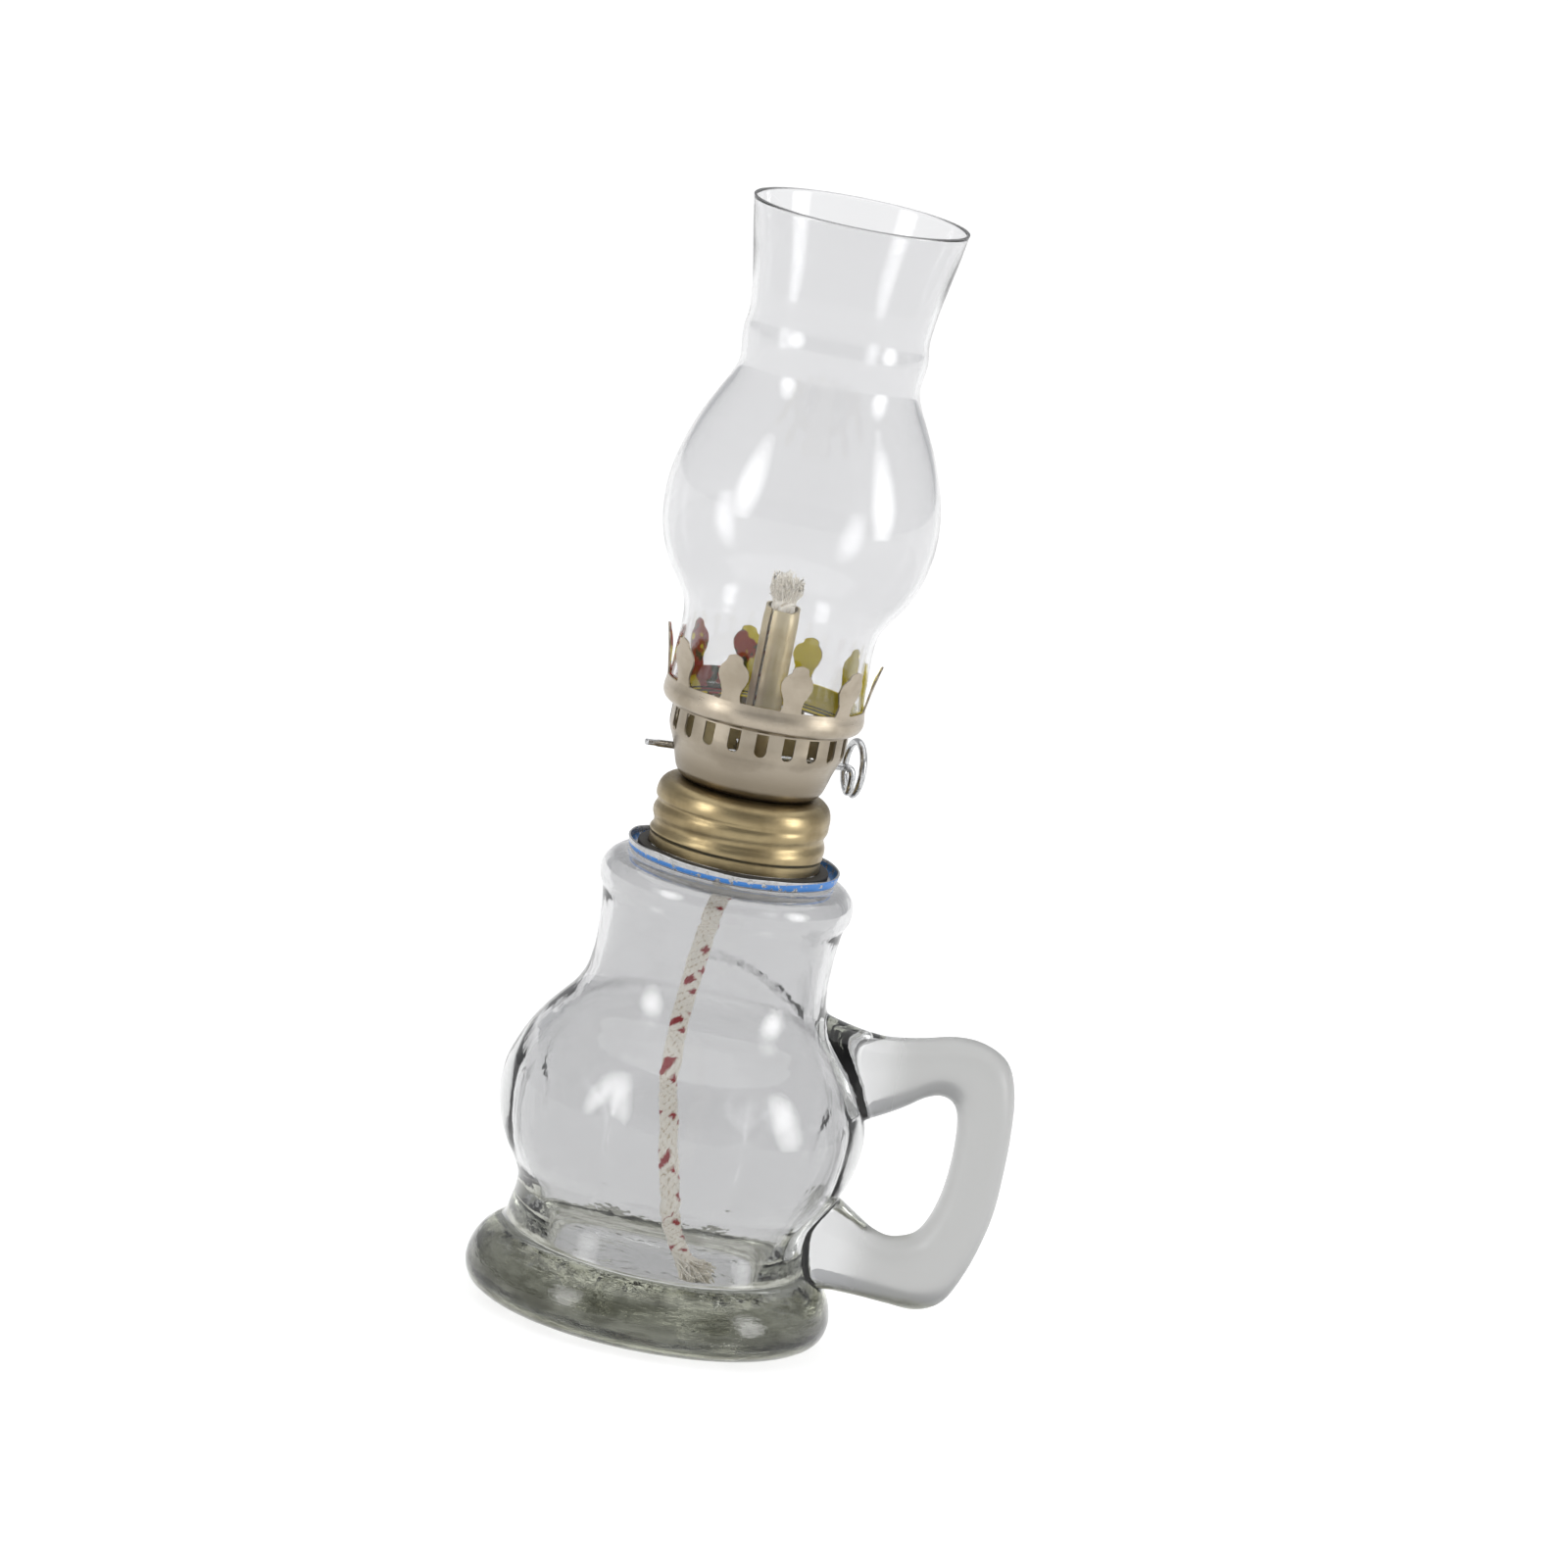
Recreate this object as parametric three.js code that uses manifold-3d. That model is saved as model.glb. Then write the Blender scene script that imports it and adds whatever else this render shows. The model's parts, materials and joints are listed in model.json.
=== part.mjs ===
// A small kerosene lamp with a finger handle: a pressed-glass oil font, a sheet-metal burner that screws onto it,
// a round braided wick that a wire knob raises, and a blown glass chimney held by a crown of springy prongs.
// Millimetres, +Z up. The origin is the centre of the foot's flat underside, and the handle points along +X.
import * as THREE from "three";
import { mergeVertices } from "three/addons/utils/BufferGeometryUtils.js";
import Module from "manifold-3d";

const wasm = await Module();
wasm.setup();

// ---- driving dimensions ----

const FIT = 0.3; // running and seating gap between separate pieces
const SHEET = 0.45; // thickness of the burner's sheet metal
const TURN = 2 * Math.PI;

// glass font
const FOOT = { flatRadius: 28, radius: 34.1, topRadius: 30.6, height: 12.6 };
const BELLY = { waistRadius: 27.3, waistHeight: 20.8, radius: 33.7, height: 39.6, wall: 3.9 };
const LOBES = { count: 8, depth: 0.9, low: 24, high: 47 };
const NECK = { radius: 21.8, height: 68.5, flareRadius: 22.4, beadRadius: 23.6, beadHeight: 82, wall: 2.0 };
const SEAT_HEIGHT = 86.4; // flat glass shoulder that carries the drip ring
const FLOOR_THICKNESS = 9;
const FLOOR_RADIUS = 20;
const BORE_RADIUS = 12.2;
const FINISH_WALL = 2.35;
const FINISH_HEIGHT = 13.6;
const THREAD = { pitch: 4.2, depth: 0.9 };
const HANDLE = { depth: 11, edge: 2.2 };

// drip ring, gasket and screw cap
const DRIP = { flatMargin: 0.75, flare: 1.3, rimHeight: 2.4 };
const GASKET = { width: 2.1, thickness: 1.7 };
const CAP = { height: 12.9, shoulder: 2.6 };

// burner
const CUP = { baseRadius: 12.1, bandRadius: 16.4, height: 13.5, bandHeight: 5.4 };
const SLOTS = { count: 20, width: 2.2, height: 4.2 };
const CROWN = { height: 4.8, gap: 0.3 };
const PRONGS = { count: 10, height: 8.9, lean: 10, width: 5.8, thickness: 0.5 };
const TUBE = { top: 135.6, bottom: 92, wall: 0.4, slit: 0.45, seamAngle: -0.7 * Math.PI };
const PLATE = { barrelRadius: 8.5, flange: 1.6, ventRadius: 0.7 };

// wick and its drive
const WICK = { radius: 2.4, tailRadius: 1.8, exposed: 6.7 };
const WIRE_RADIUS = 0.68;
const SPINDLE = { angle: 20, height: 4.8, left: 19, right: 21.8, ringRadius: 5.0 };
const WHEEL = { radius: 2.9, teeth: 10, toothDepth: 0.9, thickness: 0.8, spacing: 1.8 };

// chimney
const CHIMNEY = { wall: 1.2, fitterRadius: 17.9, fitterLength: 17.6, bulbRadius: 25.3, bulbHeight: 36.7 };
const CHIMNEY_TOP = { neckRadius: 16.65, neckHeight: 63.6, beadRadius: 17.15, beadHeight: 69 };
const CHIMNEY_RIM = { waistRadius: 16.75, waistHeight: 73.4, radius: 20.0, height: 94 };

// facets
const GLASS_SEGMENTS = LOBES.count * 5;
const METAL_SEGMENTS = 32;
const WIRE_SIDES = 8;

// ---- worked-out sizes ----

const THREAD_ROOT = BORE_RADIUS + FINISH_WALL;
const CAP_INNER_RADIUS = THREAD_ROOT + THREAD.depth + FIT; // inside of the cap between its thread beads
const CAP_RADIUS = CAP_INNER_RADIUS + SHEET;
const GASKET_RADIUS = THREAD_ROOT + THREAD.depth + FIT + GASKET.width;
const DRIP_FLAT_RADIUS = GASKET_RADIUS + DRIP.flatMargin;
const DRIP_RIM_RADIUS = DRIP_FLAT_RADIUS + DRIP.flare;
const CAP_BOTTOM = SEAT_HEIGHT + SHEET + GASKET.thickness;
const CAP_TOP = CAP_BOTTOM + CAP.height;
const CUP_TOP = CAP_TOP + CUP.height;
const CROWN_RADIUS = CHIMNEY.fitterRadius + CROWN.gap + SHEET;
const CROWN_TOP = CUP_TOP + CROWN.height;
const CHIMNEY_BASE = CUP_TOP + SHEET + FIT;
const TUBE_RADIUS = WICK.radius + 0.5 + TUBE.wall;
const SPINDLE_HEIGHT = CAP_TOP + SPINDLE.height;
const SPINDLE_OFFSET = WICK.radius + FIT + WHEEL.radius; // from the wick's axis to the spindle's
const HOLE_RADIUS = PLATE.barrelRadius + FIT; // centre hole of the cap and of the cup

// ---- finishes ----

const MATERIALS = {
  fontGlass: { color: 0xdfe6e2, roughness: 0.05, metalness: 0 },
  chimneyGlass: { color: 0xeef1f2, roughness: 0.02, metalness: 0 },
  burnerMetal: { color: 0xa89c86, roughness: 0.38, metalness: 1 },
  capMetal: { color: 0xb09a63, roughness: 0.35, metalness: 1 },
  tinplate: { color: 0x8f9296, roughness: 0.35, metalness: 1 },
  steelWire: { color: 0x9fa3a6, roughness: 0.25, metalness: 1 },
  rubber: { color: 0x16130f, roughness: 0.8, metalness: 0 },
  cotton: { color: 0xe6dcc6, roughness: 0.95, metalness: 0 },
};

const lamp = new THREE.Group();
const burner = new THREE.Group(); // turned so that its own X runs along the knob's spindle
burner.rotation.z = THREE.MathUtils.degToRad(SPINDLE.angle);
lamp.add(burner);

function add(parent, name, geometry, finish) {
  const mesh = new THREE.Mesh(geometry, new THREE.MeshStandardMaterial(MATERIALS[finish]));
  mesh.name = name;
  parent.add(mesh);
}

// ---- helpers ----

// A closed geometry as a manifold-3d solid.
function solid(geometry) {
  const bare = new THREE.BufferGeometry();
  const source = geometry.index ? geometry.toNonIndexed() : geometry;
  bare.setAttribute("position", source.getAttribute("position"));
  const merged = mergeVertices(bare, 1e-4);
  return new wasm.Manifold(
    new wasm.Mesh({
      numProp: 3,
      vertProperties: merged.attributes.position.array,
      triVerts: new Uint32Array(merged.index.array),
    }),
  );
}

// A manifold-3d solid as a three.js geometry.
function geometryOf(body) {
  const mesh = body.getMesh();
  const geometry = new THREE.BufferGeometry();
  geometry.setAttribute("position", new THREE.BufferAttribute(mesh.vertProperties, 3));
  geometry.setIndex(new THREE.BufferAttribute(mesh.triVerts, 1));
  geometry.computeVertexNormals();
  return geometry;
}

// The profile's points [radius, height] turned about Z. A profile that doesn't touch the axis closes on itself.
function turned(profile, segments) {
  const points = profile.map(([r, h]) => new THREE.Vector2(r, h));
  const open = points[0].x === 0 && points[points.length - 1].x === 0;
  if (!open) points.push(points[0].clone());
  if (THREE.ShapeUtils.area(points) < 0) points.reverse();
  return new THREE.LatheGeometry(points, segments).rotateX(Math.PI / 2);
}

// Points [radius, height] on a smooth curve through the given ones.
function smooth(points, divisions) {
  const curve = new THREE.SplineCurve(points.map(([r, h]) => new THREE.Vector2(r, h)));
  return curve.getPoints(divisions).map((p) => [p.x, p.y]);
}

// A flat-sided plate: an outline in X and Z, extruded evenly to both sides of Y = 0.
function plateXZ(shape, thickness, options = {}) {
  const geometry = new THREE.ExtrudeGeometry(shape, { depth: thickness, bevelEnabled: false, ...options });
  geometry.translate(0, 0, -thickness / 2);
  return geometry.rotateX(Math.PI / 2);
}

// A sheet-metal section: the outer line and the same line moved to the sheet's other side.
function sheetSection(line, thickness) {
  const inner = line.map((point, i) => {
    const before = line[Math.max(i - 1, 0)];
    const after = line[Math.min(i + 1, line.length - 1)];
    const length = Math.hypot(after[0] - before[0], after[1] - before[1]);
    const normal = [-(after[1] - before[1]) / length, (after[0] - before[0]) / length];
    return [point[0] + normal[0] * thickness, point[1] + normal[1] * thickness];
  });
  return [...line, ...inner.reverse()];
}

// How far a right-hand thread stands out, from 0 to 1, at an angle and a height.
function threadWave(angle, height) {
  return (1 + Math.cos((TURN * height) / THREAD.pitch - angle)) / 2;
}

// Fades from 0 at a to 1 at b.
function fade(value, a, b) {
  return THREE.MathUtils.smoothstep(value, Math.min(a, b), Math.max(a, b)) * Math.sign(b - a) + (b < a ? 1 : 0);
}

// Moves each point of a turned geometry in or out by what change(angle, height, radius) says.
function reshape(geometry, change) {
  const position = geometry.getAttribute("position");
  for (let i = 0; i < position.count; i++) {
    const x = position.getX(i);
    const y = position.getY(i);
    const radius = Math.hypot(x, y);
    if (radius < 1e-6) continue;
    const scale = 1 + change(Math.atan2(y, x), position.getZ(i), radius) / radius;
    position.setXY(i, x * scale, y * scale);
  }
  return geometry;
}

// ---- glass font, with its handle moulded on ----

const FINISH_TOP = SEAT_HEIGHT + FINISH_HEIGHT;
const THREAD_LOW = SEAT_HEIGHT + SHEET + GASKET.thickness;
const THREAD_ROWS = 13;

function fontOuter() {
  const foot = smooth(
    [
      [FOOT.flatRadius, 0],
      [FOOT.radius - 1.6, FOOT.height * 0.14],
      [FOOT.radius, FOOT.height * 0.46],
      [FOOT.radius - 1.3, FOOT.height * 0.79],
      [FOOT.topRadius, FOOT.height],
    ],
    7,
  );
  const belly = smooth(
    [
      [BELLY.waistRadius + 1.3, FOOT.height + 2.4],
      [BELLY.waistRadius, BELLY.waistHeight],
      [(BELLY.waistRadius + BELLY.radius) / 2 + 0.6, BELLY.waistHeight + 8],
      [BELLY.radius, BELLY.height],
      [BELLY.radius - 3.3, BELLY.height + 11],
      [NECK.radius + 2.3, BELLY.height + 19.6],
      [NECK.radius, NECK.height],
      [NECK.flareRadius, NECK.beadHeight - 5],
      [NECK.beadRadius, NECK.beadHeight],
      [NECK.beadRadius - 2, SEAT_HEIGHT - 0.7],
    ],
    20,
  );
  const finish = [[THREAD_ROOT, SEAT_HEIGHT]];
  for (let i = 0; i < THREAD_ROWS; i++) {
    finish.push([THREAD_ROOT, THREAD_LOW + ((FINISH_TOP - 0.8 - THREAD_LOW) * i) / (THREAD_ROWS - 1)]);
  }
  const seatEdge = [DRIP_RIM_RADIUS - 0.6, SEAT_HEIGHT];
  const profile = [[0, 0], ...foot, ...belly, seatEdge, ...finish, [THREAD_ROOT - 0.6, FINISH_TOP], [0, FINISH_TOP]];
  return reshape(turned(profile, GLASS_SEGMENTS), (angle, height, radius) => {
    if (height > THREAD_LOW - 0.1 && radius > BORE_RADIUS + 1.9) return glassThread(angle, height);
    return -lobeDip(angle, height);
  });
}

// How far the glass thread stands out from its root.
function glassThread(angle, height) {
  const run = fade(height, THREAD_LOW + 0.4, THREAD_LOW + 1.6) * fade(height, FINISH_TOP - 1.2, FINISH_TOP - 2.4);
  return THREAD.depth * threadWave(angle, height) * run;
}

// How far the surface of the belly lies inside its widest line: 0 down the middle of a lobe, deepest at a crease.
function lobeDip(angle, height) {
  const step = TURN / LOBES.count;
  const off = (angle / step - Math.round(angle / step)) * 2;
  const run = fade(height, LOBES.low, LOBES.low + 4) * fade(height, LOBES.high, LOBES.high - 9);
  return LOBES.depth * off * off * run;
}

function fontCavity() {
  const wall = smooth(
    [
      [FLOOR_RADIUS, FLOOR_THICKNESS],
      [FLOOR_RADIUS + 2.6, FLOOR_THICKNESS + 3],
      [BELLY.waistRadius - BELLY.wall, BELLY.waistHeight + 1],
      [BELLY.radius - BELLY.wall, BELLY.height],
      [BELLY.radius - BELLY.wall - 3.8, BELLY.height + 11],
      [NECK.radius - NECK.wall + 2, BELLY.height + 18.6],
      [NECK.radius - NECK.wall, NECK.height - 1],
      [NECK.flareRadius - NECK.wall, NECK.beadHeight - 4],
      [BORE_RADIUS, SEAT_HEIGHT - 2.4],
    ],
    15,
  );
  const mouth = FINISH_TOP + 1;
  return turned([[0, FLOOR_THICKNESS], ...wall, [BORE_RADIUS, mouth], [0, mouth]], 24);
}

// The handle's side view: the outer line, then the finger hole. Both run into the glass of the body. Each point is
// [distance out from the belly's widest line, height]; the first is rooted in the neck.
function handleShape() {
  const placed = (points) => points.map(([out, z]) => new THREE.Vector2(BELLY.radius + out, z));
  const outer = new THREE.SplineCurve(
    placed([
      [NECK.radius - 0.8 - BELLY.radius, 61.2],
      [-6.7, 60.6], [1.8, 59.9], [10.3, 61.4], [16.8, 62.2], [21.9, 60.4], [25.5, 55.2], [26.8, 46],
      [26.5, 35], [24.6, 23.6], [21.5, 15], [16.3, 10.9], [9.3, 10.6], [1.3, 10.8], [-5.7, 10.4],
    ]),
  );
  const hole = new THREE.SplineCurve(
    placed([
      [-3.7, 42], [0.3, 44.2], [5.9, 47.6], [10.9, 50.9], [15, 50.2], [16.7, 45], [16.5, 36.5], [14.9, 28.2],
      [11.7, 23.9], [7.3, 22.9], [2.3, 25], [-2.2, 28.2], [-4.1, 31], [-4.7, 36],
    ]),
  );
  const shape = new THREE.Shape(outer.getPoints(26).reverse());
  shape.holes.push(new THREE.Path(hole.getPoints(24)));
  return shape;
}

function glassFont() {
  const bevel = { bevelEnabled: true, bevelSegments: 2, bevelSize: HANDLE.edge, bevelOffset: -HANDLE.edge };
  const flat = HANDLE.depth - 2 * HANDLE.edge;
  const handle = plateXZ(handleShape(), flat, { ...bevel, bevelThickness: HANDLE.edge });
  return geometryOf(solid(fontOuter()).add(solid(handle)).subtract(solid(fontCavity())));
}
add(lamp, "glass_font", glassFont(), "fontGlass");

// ---- drip ring and gasket, trapped between the cap and the glass shoulder ----

const SEAL_BORE = THREAD_ROOT + THREAD.depth + FIT;

function dripRing() {
  const line = [
    [SEAL_BORE, SEAT_HEIGHT],
    [DRIP_FLAT_RADIUS, SEAT_HEIGHT],
    [DRIP_RIM_RADIUS - 0.35, SEAT_HEIGHT + DRIP.rimHeight * 0.35],
    [DRIP_RIM_RADIUS, SEAT_HEIGHT + DRIP.rimHeight],
  ];
  return turned(sheetSection(line, SHEET), METAL_SEGMENTS);
}
add(lamp, "drip_ring", dripRing(), "tinplate");

function gasket() {
  const base = SEAT_HEIGHT + SHEET;
  const top = base + GASKET.thickness;
  return turned(
    [[SEAL_BORE, base], [GASKET_RADIUS, base], [GASKET_RADIUS, top], [SEAL_BORE, top]],
    METAL_SEGMENTS,
  );
}
add(lamp, "cap_gasket", gasket(), "rubber");

// ---- screw cap: sheet of one thickness with the thread rolled into it ----

function screwCap() {
  const skirtTop = CAP_TOP - CAP.shoulder;
  const rows = 12;
  const outer = [];
  for (let i = 0; i <= rows; i++) {
    outer.push([CAP_RADIUS, CAP_BOTTOM + ((skirtTop - CAP_BOTTOM) * i) / rows]);
  }
  outer.push([CAP_RADIUS - 0.7, CAP_TOP - 1], [CAP_RADIUS - 2.4, CAP_TOP], [HOLE_RADIUS, CAP_TOP]);
  const inner = outer.map(([r, h], i) => {
    if (i <= rows) return [r - SHEET, h];
    return i === rows + 1 ? [r - SHEET * 0.9, h - SHEET * 0.5] : [r, h - SHEET];
  });
  return reshape(turned([...outer, ...inner.reverse()], METAL_SEGMENTS), (angle, height, radius) => {
    if (radius < CAP_INNER_RADIUS - 0.1) return 0;
    const run = fade(height, CAP_BOTTOM + 0.3, CAP_BOTTOM + 1.5) * fade(height, skirtTop + 0.3, skirtTop - 1);
    return -THREAD.depth * (1 - threadWave(angle, height)) * run;
  });
}
add(lamp, "screw_cap", screwCap(), "capMetal");

// ---- burner cup, with its air slots ----

function burnerCup() {
  const bandLow = CUP_TOP - CUP.bandHeight;
  const line = [
    [HOLE_RADIUS, CAP_TOP],
    ...smooth(
      [
        [CUP.baseRadius, CAP_TOP],
        [CUP.baseRadius + 1.9, CAP_TOP + 1.7],
        [CUP.baseRadius + 2.7, bandLow - 3.2],
        [CUP.bandRadius - 0.4, bandLow],
      ],
      6,
    ),
    [CUP.bandRadius, bandLow + 1.6],
    [CUP.bandRadius, CUP_TOP],
  ];
  let cup = solid(turned(sheetSection(line, SHEET), METAL_SEGMENTS));
  const slot = new THREE.Shape();
  const half = SLOTS.width / 2;
  const bottom = CUP_TOP - 0.25 - SLOTS.height;
  slot.moveTo(half, CUP_TOP - 0.4);
  slot.lineTo(-half, CUP_TOP - 0.4);
  slot.lineTo(-half, bottom + half);
  slot.absarc(0, bottom + half, half, Math.PI, TURN);
  const cutter = plateXZ(slot, 4, { curveSegments: 3 });
  cutter.translate(0, -CUP.bandRadius, 0);
  for (let i = 0; i < SLOTS.count; i++) {
    const angle = (TURN * (i + 0.2)) / SLOTS.count - burner.rotation.z;
    cup = cup.subtract(solid(cutter.clone().rotateZ(angle)));
  }
  const hole = new THREE.CylinderGeometry(WIRE_RADIUS + FIT, WIRE_RADIUS + FIT, 4 * CUP.bandRadius, WIRE_SIDES);
  hole.rotateZ(Math.PI / 2).translate(0, SPINDLE_OFFSET, SPINDLE_HEIGHT);
  return geometryOf(cup.subtract(solid(hole)));
}
add(burner, "burner_cup", burnerCup(), "burnerMetal");

// ---- tube plate: an eyelet that clamps the cap and the cup together and holds the wick tube ----

function tubePlate() {
  const under = CAP_TOP - SHEET - FIT; // the rolled-over edge grips below the cap's top
  const top = CAP_TOP + SHEET + FIT + SHEET;
  const collar = TUBE_RADIUS + FIT;
  const collarTop = SPINDLE_HEIGHT - WHEEL.radius - FIT;
  const rim = PLATE.barrelRadius + PLATE.flange;
  const body = turned(
    [
      [collar, top - SHEET],
      [PLATE.barrelRadius - SHEET, top - SHEET],
      [PLATE.barrelRadius - SHEET, under - SHEET],
      [rim - 0.4, under - SHEET],
      [rim - 0.4, under],
      [PLATE.barrelRadius, under],
      [PLATE.barrelRadius, top - SHEET],
      [rim, top - SHEET],
      [rim, top],
      [collar + SHEET, top],
      [collar + SHEET, collarTop],
      [collar, collarTop],
    ],
    24,
  );
  const vent = new THREE.CylinderGeometry(PLATE.ventRadius, PLATE.ventRadius, 4, 8);
  vent.rotateX(Math.PI / 2).translate(0, -(collar + PLATE.barrelRadius) / 2, top);
  return geometryOf(solid(body).subtract(solid(vent)));
}
add(burner, "tube_plate", tubePlate(), "burnerMetal");

// ---- chimney crown: a ledge for the glass to stand on, a rounded wall, and springy prongs ----

function prongShape() {
  const lobe = PRONGS.width / 2;
  const tall = PRONGS.height;
  const right = [
    [lobe * 0.75, -0.6],
    [lobe * 0.6, tall * 0.2],
    [lobe * 0.9, tall * 0.42],
    [lobe, tall * 0.6],
    [lobe * 0.85, tall * 0.76],
    [lobe * 0.5, tall * 0.87],
    [lobe * 0.2, tall],
  ];
  const left = right.map(([x, z]) => [-x, z]).reverse();
  return new THREE.Shape([...right, ...left].map(([x, z]) => new THREE.Vector2(x, z)));
}

function chimneyCrown() {
  const line = [
    [CUP.bandRadius - 0.9, CUP_TOP],
    [CROWN_RADIUS - 1.2, CUP_TOP],
    [CROWN_RADIUS - 0.35, CUP_TOP + 0.45],
    [CROWN_RADIUS, CUP_TOP + 1.4],
    [CROWN_RADIUS, CROWN_TOP],
  ];
  let crown = solid(turned(sheetSection(line, SHEET), METAL_SEGMENTS));
  const prong = plateXZ(prongShape(), PRONGS.thickness);
  prong.rotateX(THREE.MathUtils.degToRad(PRONGS.lean));
  prong.translate(0, -(CROWN_RADIUS - SHEET / 2) + 0.05, CROWN_TOP);
  for (let i = 0; i < PRONGS.count; i++) {
    const angle = (TURN * (i + 0.45)) / PRONGS.count - burner.rotation.z;
    crown = crown.add(solid(prong.clone().rotateZ(angle)));
  }
  return geometryOf(crown);
}
add(burner, "chimney_crown", chimneyCrown(), "burnerMetal");

// ---- wick tube: rolled sheet with an open seam, and a window at the back where the wheels reach the wick ----

function wickTube() {
  const gap = TUBE.slit / TUBE_RADIUS / 2;
  const section = new THREE.Shape();
  section.absarc(0, 0, TUBE_RADIUS, gap, TURN - gap);
  section.absarc(0, 0, TUBE_RADIUS - TUBE.wall, TURN - gap, gap, true);
  const tube = new THREE.ExtrudeGeometry(section, {
    depth: TUBE.top - TUBE.bottom,
    bevelEnabled: false,
    curveSegments: 20,
  });
  tube.rotateZ(TUBE.seamAngle - burner.rotation.z).translate(0, 0, TUBE.bottom);
  const window = new THREE.BoxGeometry(WHEEL.spacing + 2 * WHEEL.thickness + 4 * FIT, TUBE_RADIUS, 2 * WHEEL.radius);
  window.translate(0, TUBE_RADIUS * 0.5 + 0.9, SPINDLE_HEIGHT);
  return geometryOf(solid(tube).subtract(solid(window)));
}
add(burner, "wick_tube", wickTube(), "burnerMetal");

// ---- wick: the stretch in the tube, and the free tail that hangs in the font ----

const WICK_TOP = TUBE.top + WICK.exposed;

function wick() {
  return turned(
    [
      [0, TUBE.bottom],
      [WICK.radius, TUBE.bottom],
      [WICK.radius, WICK_TOP - 1.2],
      [WICK.radius * 0.7, WICK_TOP],
      [0, WICK_TOP],
    ],
    12,
  );
}
add(burner, "wick", wick(), "cotton");

// The tail's route, chosen by hand: down from the tube, and over to one side on the floor of the font.
const TAIL_ROUTE = [
  [0, 0, 91.7], [-0.1, 0, 88], [-0.9, 0, 82], [-1.9, -0.2, 75], [-2.8, -0.4, 68], [-3.4, -0.6, 61],
  [-3.8, -0.8, 54], [-3.7, -1, 47], [-2.9, -1.4, 40], [-1.5, -2, 33.5], [0.1, -3, 27.6], [1.6, -4.4, 22.6],
  [2.9, -6, 18.2], [4.2, -7.8, 14.6], [5.7, -9.6, 12.1], [7.3, -11.4, 11.2],
];

function wickTail() {
  const route = new THREE.CatmullRomCurve3(TAIL_ROUTE.map((p) => new THREE.Vector3(...p)));
  const section = new THREE.Shape();
  section.absarc(0, 0, WICK.tailRadius, 0, TURN);
  return new THREE.ExtrudeGeometry(section, { steps: 24, curveSegments: 5, extrudePath: route });
}
add(lamp, "wick_tail", wickTail(), "cotton");

// ---- wick wheels: two stamped star wheels pressed on the spindle ----

function wickWheel() {
  const outline = [];
  for (let i = 0; i < WHEEL.teeth * 2; i++) {
    const radius = i % 2 ? WHEEL.radius - WHEEL.toothDepth : WHEEL.radius;
    const angle = (TURN * i) / (WHEEL.teeth * 2);
    outline.push(new THREE.Vector2(radius * Math.cos(angle), radius * Math.sin(angle)));
  }
  const star = new THREE.Shape(outline);
  star.holes.push(new THREE.Path().absarc(0, 0, WIRE_RADIUS + 0.15, 0, TURN, true));
  const wheel = new THREE.ExtrudeGeometry(star, { depth: WHEEL.thickness, bevelEnabled: false, curveSegments: 8 });
  return wheel.translate(0, 0, -WHEEL.thickness / 2).rotateY(Math.PI / 2);
}
for (const [name, side] of [["left", -1], ["right", 1]]) {
  const wheel = wickWheel().translate((side * WHEEL.spacing) / 2, SPINDLE_OFFSET, SPINDLE_HEIGHT);
  add(burner, `wick_wheel_${name}`, wheel, "steelWire");
}

// ---- knob spindle: one wire, flattened at the left end, cranked and curled into a finger ring at the right ----

function knobSpindle() {
  const crank = SPINDLE.right;
  const ring = SPINDLE.ringRadius;
  const bend = 1.3;
  const points = [[crank - 3.4, 0, 0], [crank - bend, 0, 0], [crank - 0.35, 0, -0.35], [crank, 0, -bend]];
  points.push([crank, 0, -ring / 2], [crank, 0, -ring + bend], [crank, 0.35, -ring + 0.4]);
  const start = bend / ring;
  const stop = TURN - 2.6 * WIRE_RADIUS / ring;
  const turns = 14;
  for (let i = 0; i <= turns; i++) {
    const angle = start + ((stop - start) * i) / turns;
    points.push([crank, ring * Math.sin(angle), -ring * Math.cos(angle)]);
  }
  const route = new THREE.CatmullRomCurve3(points.map((p) => new THREE.Vector3(...p)));
  const section = new THREE.Shape();
  section.absarc(0, 0, WIRE_RADIUS, 0, TURN);
  const curl = new THREE.ExtrudeGeometry(section, { steps: 44, curveSegments: WIRE_SIDES / 2, extrudePath: route });
  const length = SPINDLE.left + crank - 3;
  const shaft = new THREE.CylinderGeometry(WIRE_RADIUS, WIRE_RADIUS, length, WIRE_SIDES);
  shaft.rotateZ(Math.PI / 2).translate(length / 2 - SPINDLE.left, 0, 0);
  const tab = new THREE.BoxGeometry(2.6, 0.9, 2 * WIRE_RADIUS + 0.5).translate(0.9 - SPINDLE.left, 0, 0);
  const whole = solid(shaft).add(solid(curl)).add(solid(tab));
  return geometryOf(whole.translate([0, SPINDLE_OFFSET, SPINDLE_HEIGHT]));
}
add(burner, "knob_spindle", knobSpindle(), "steelWire");

// ---- chimney ----

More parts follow.
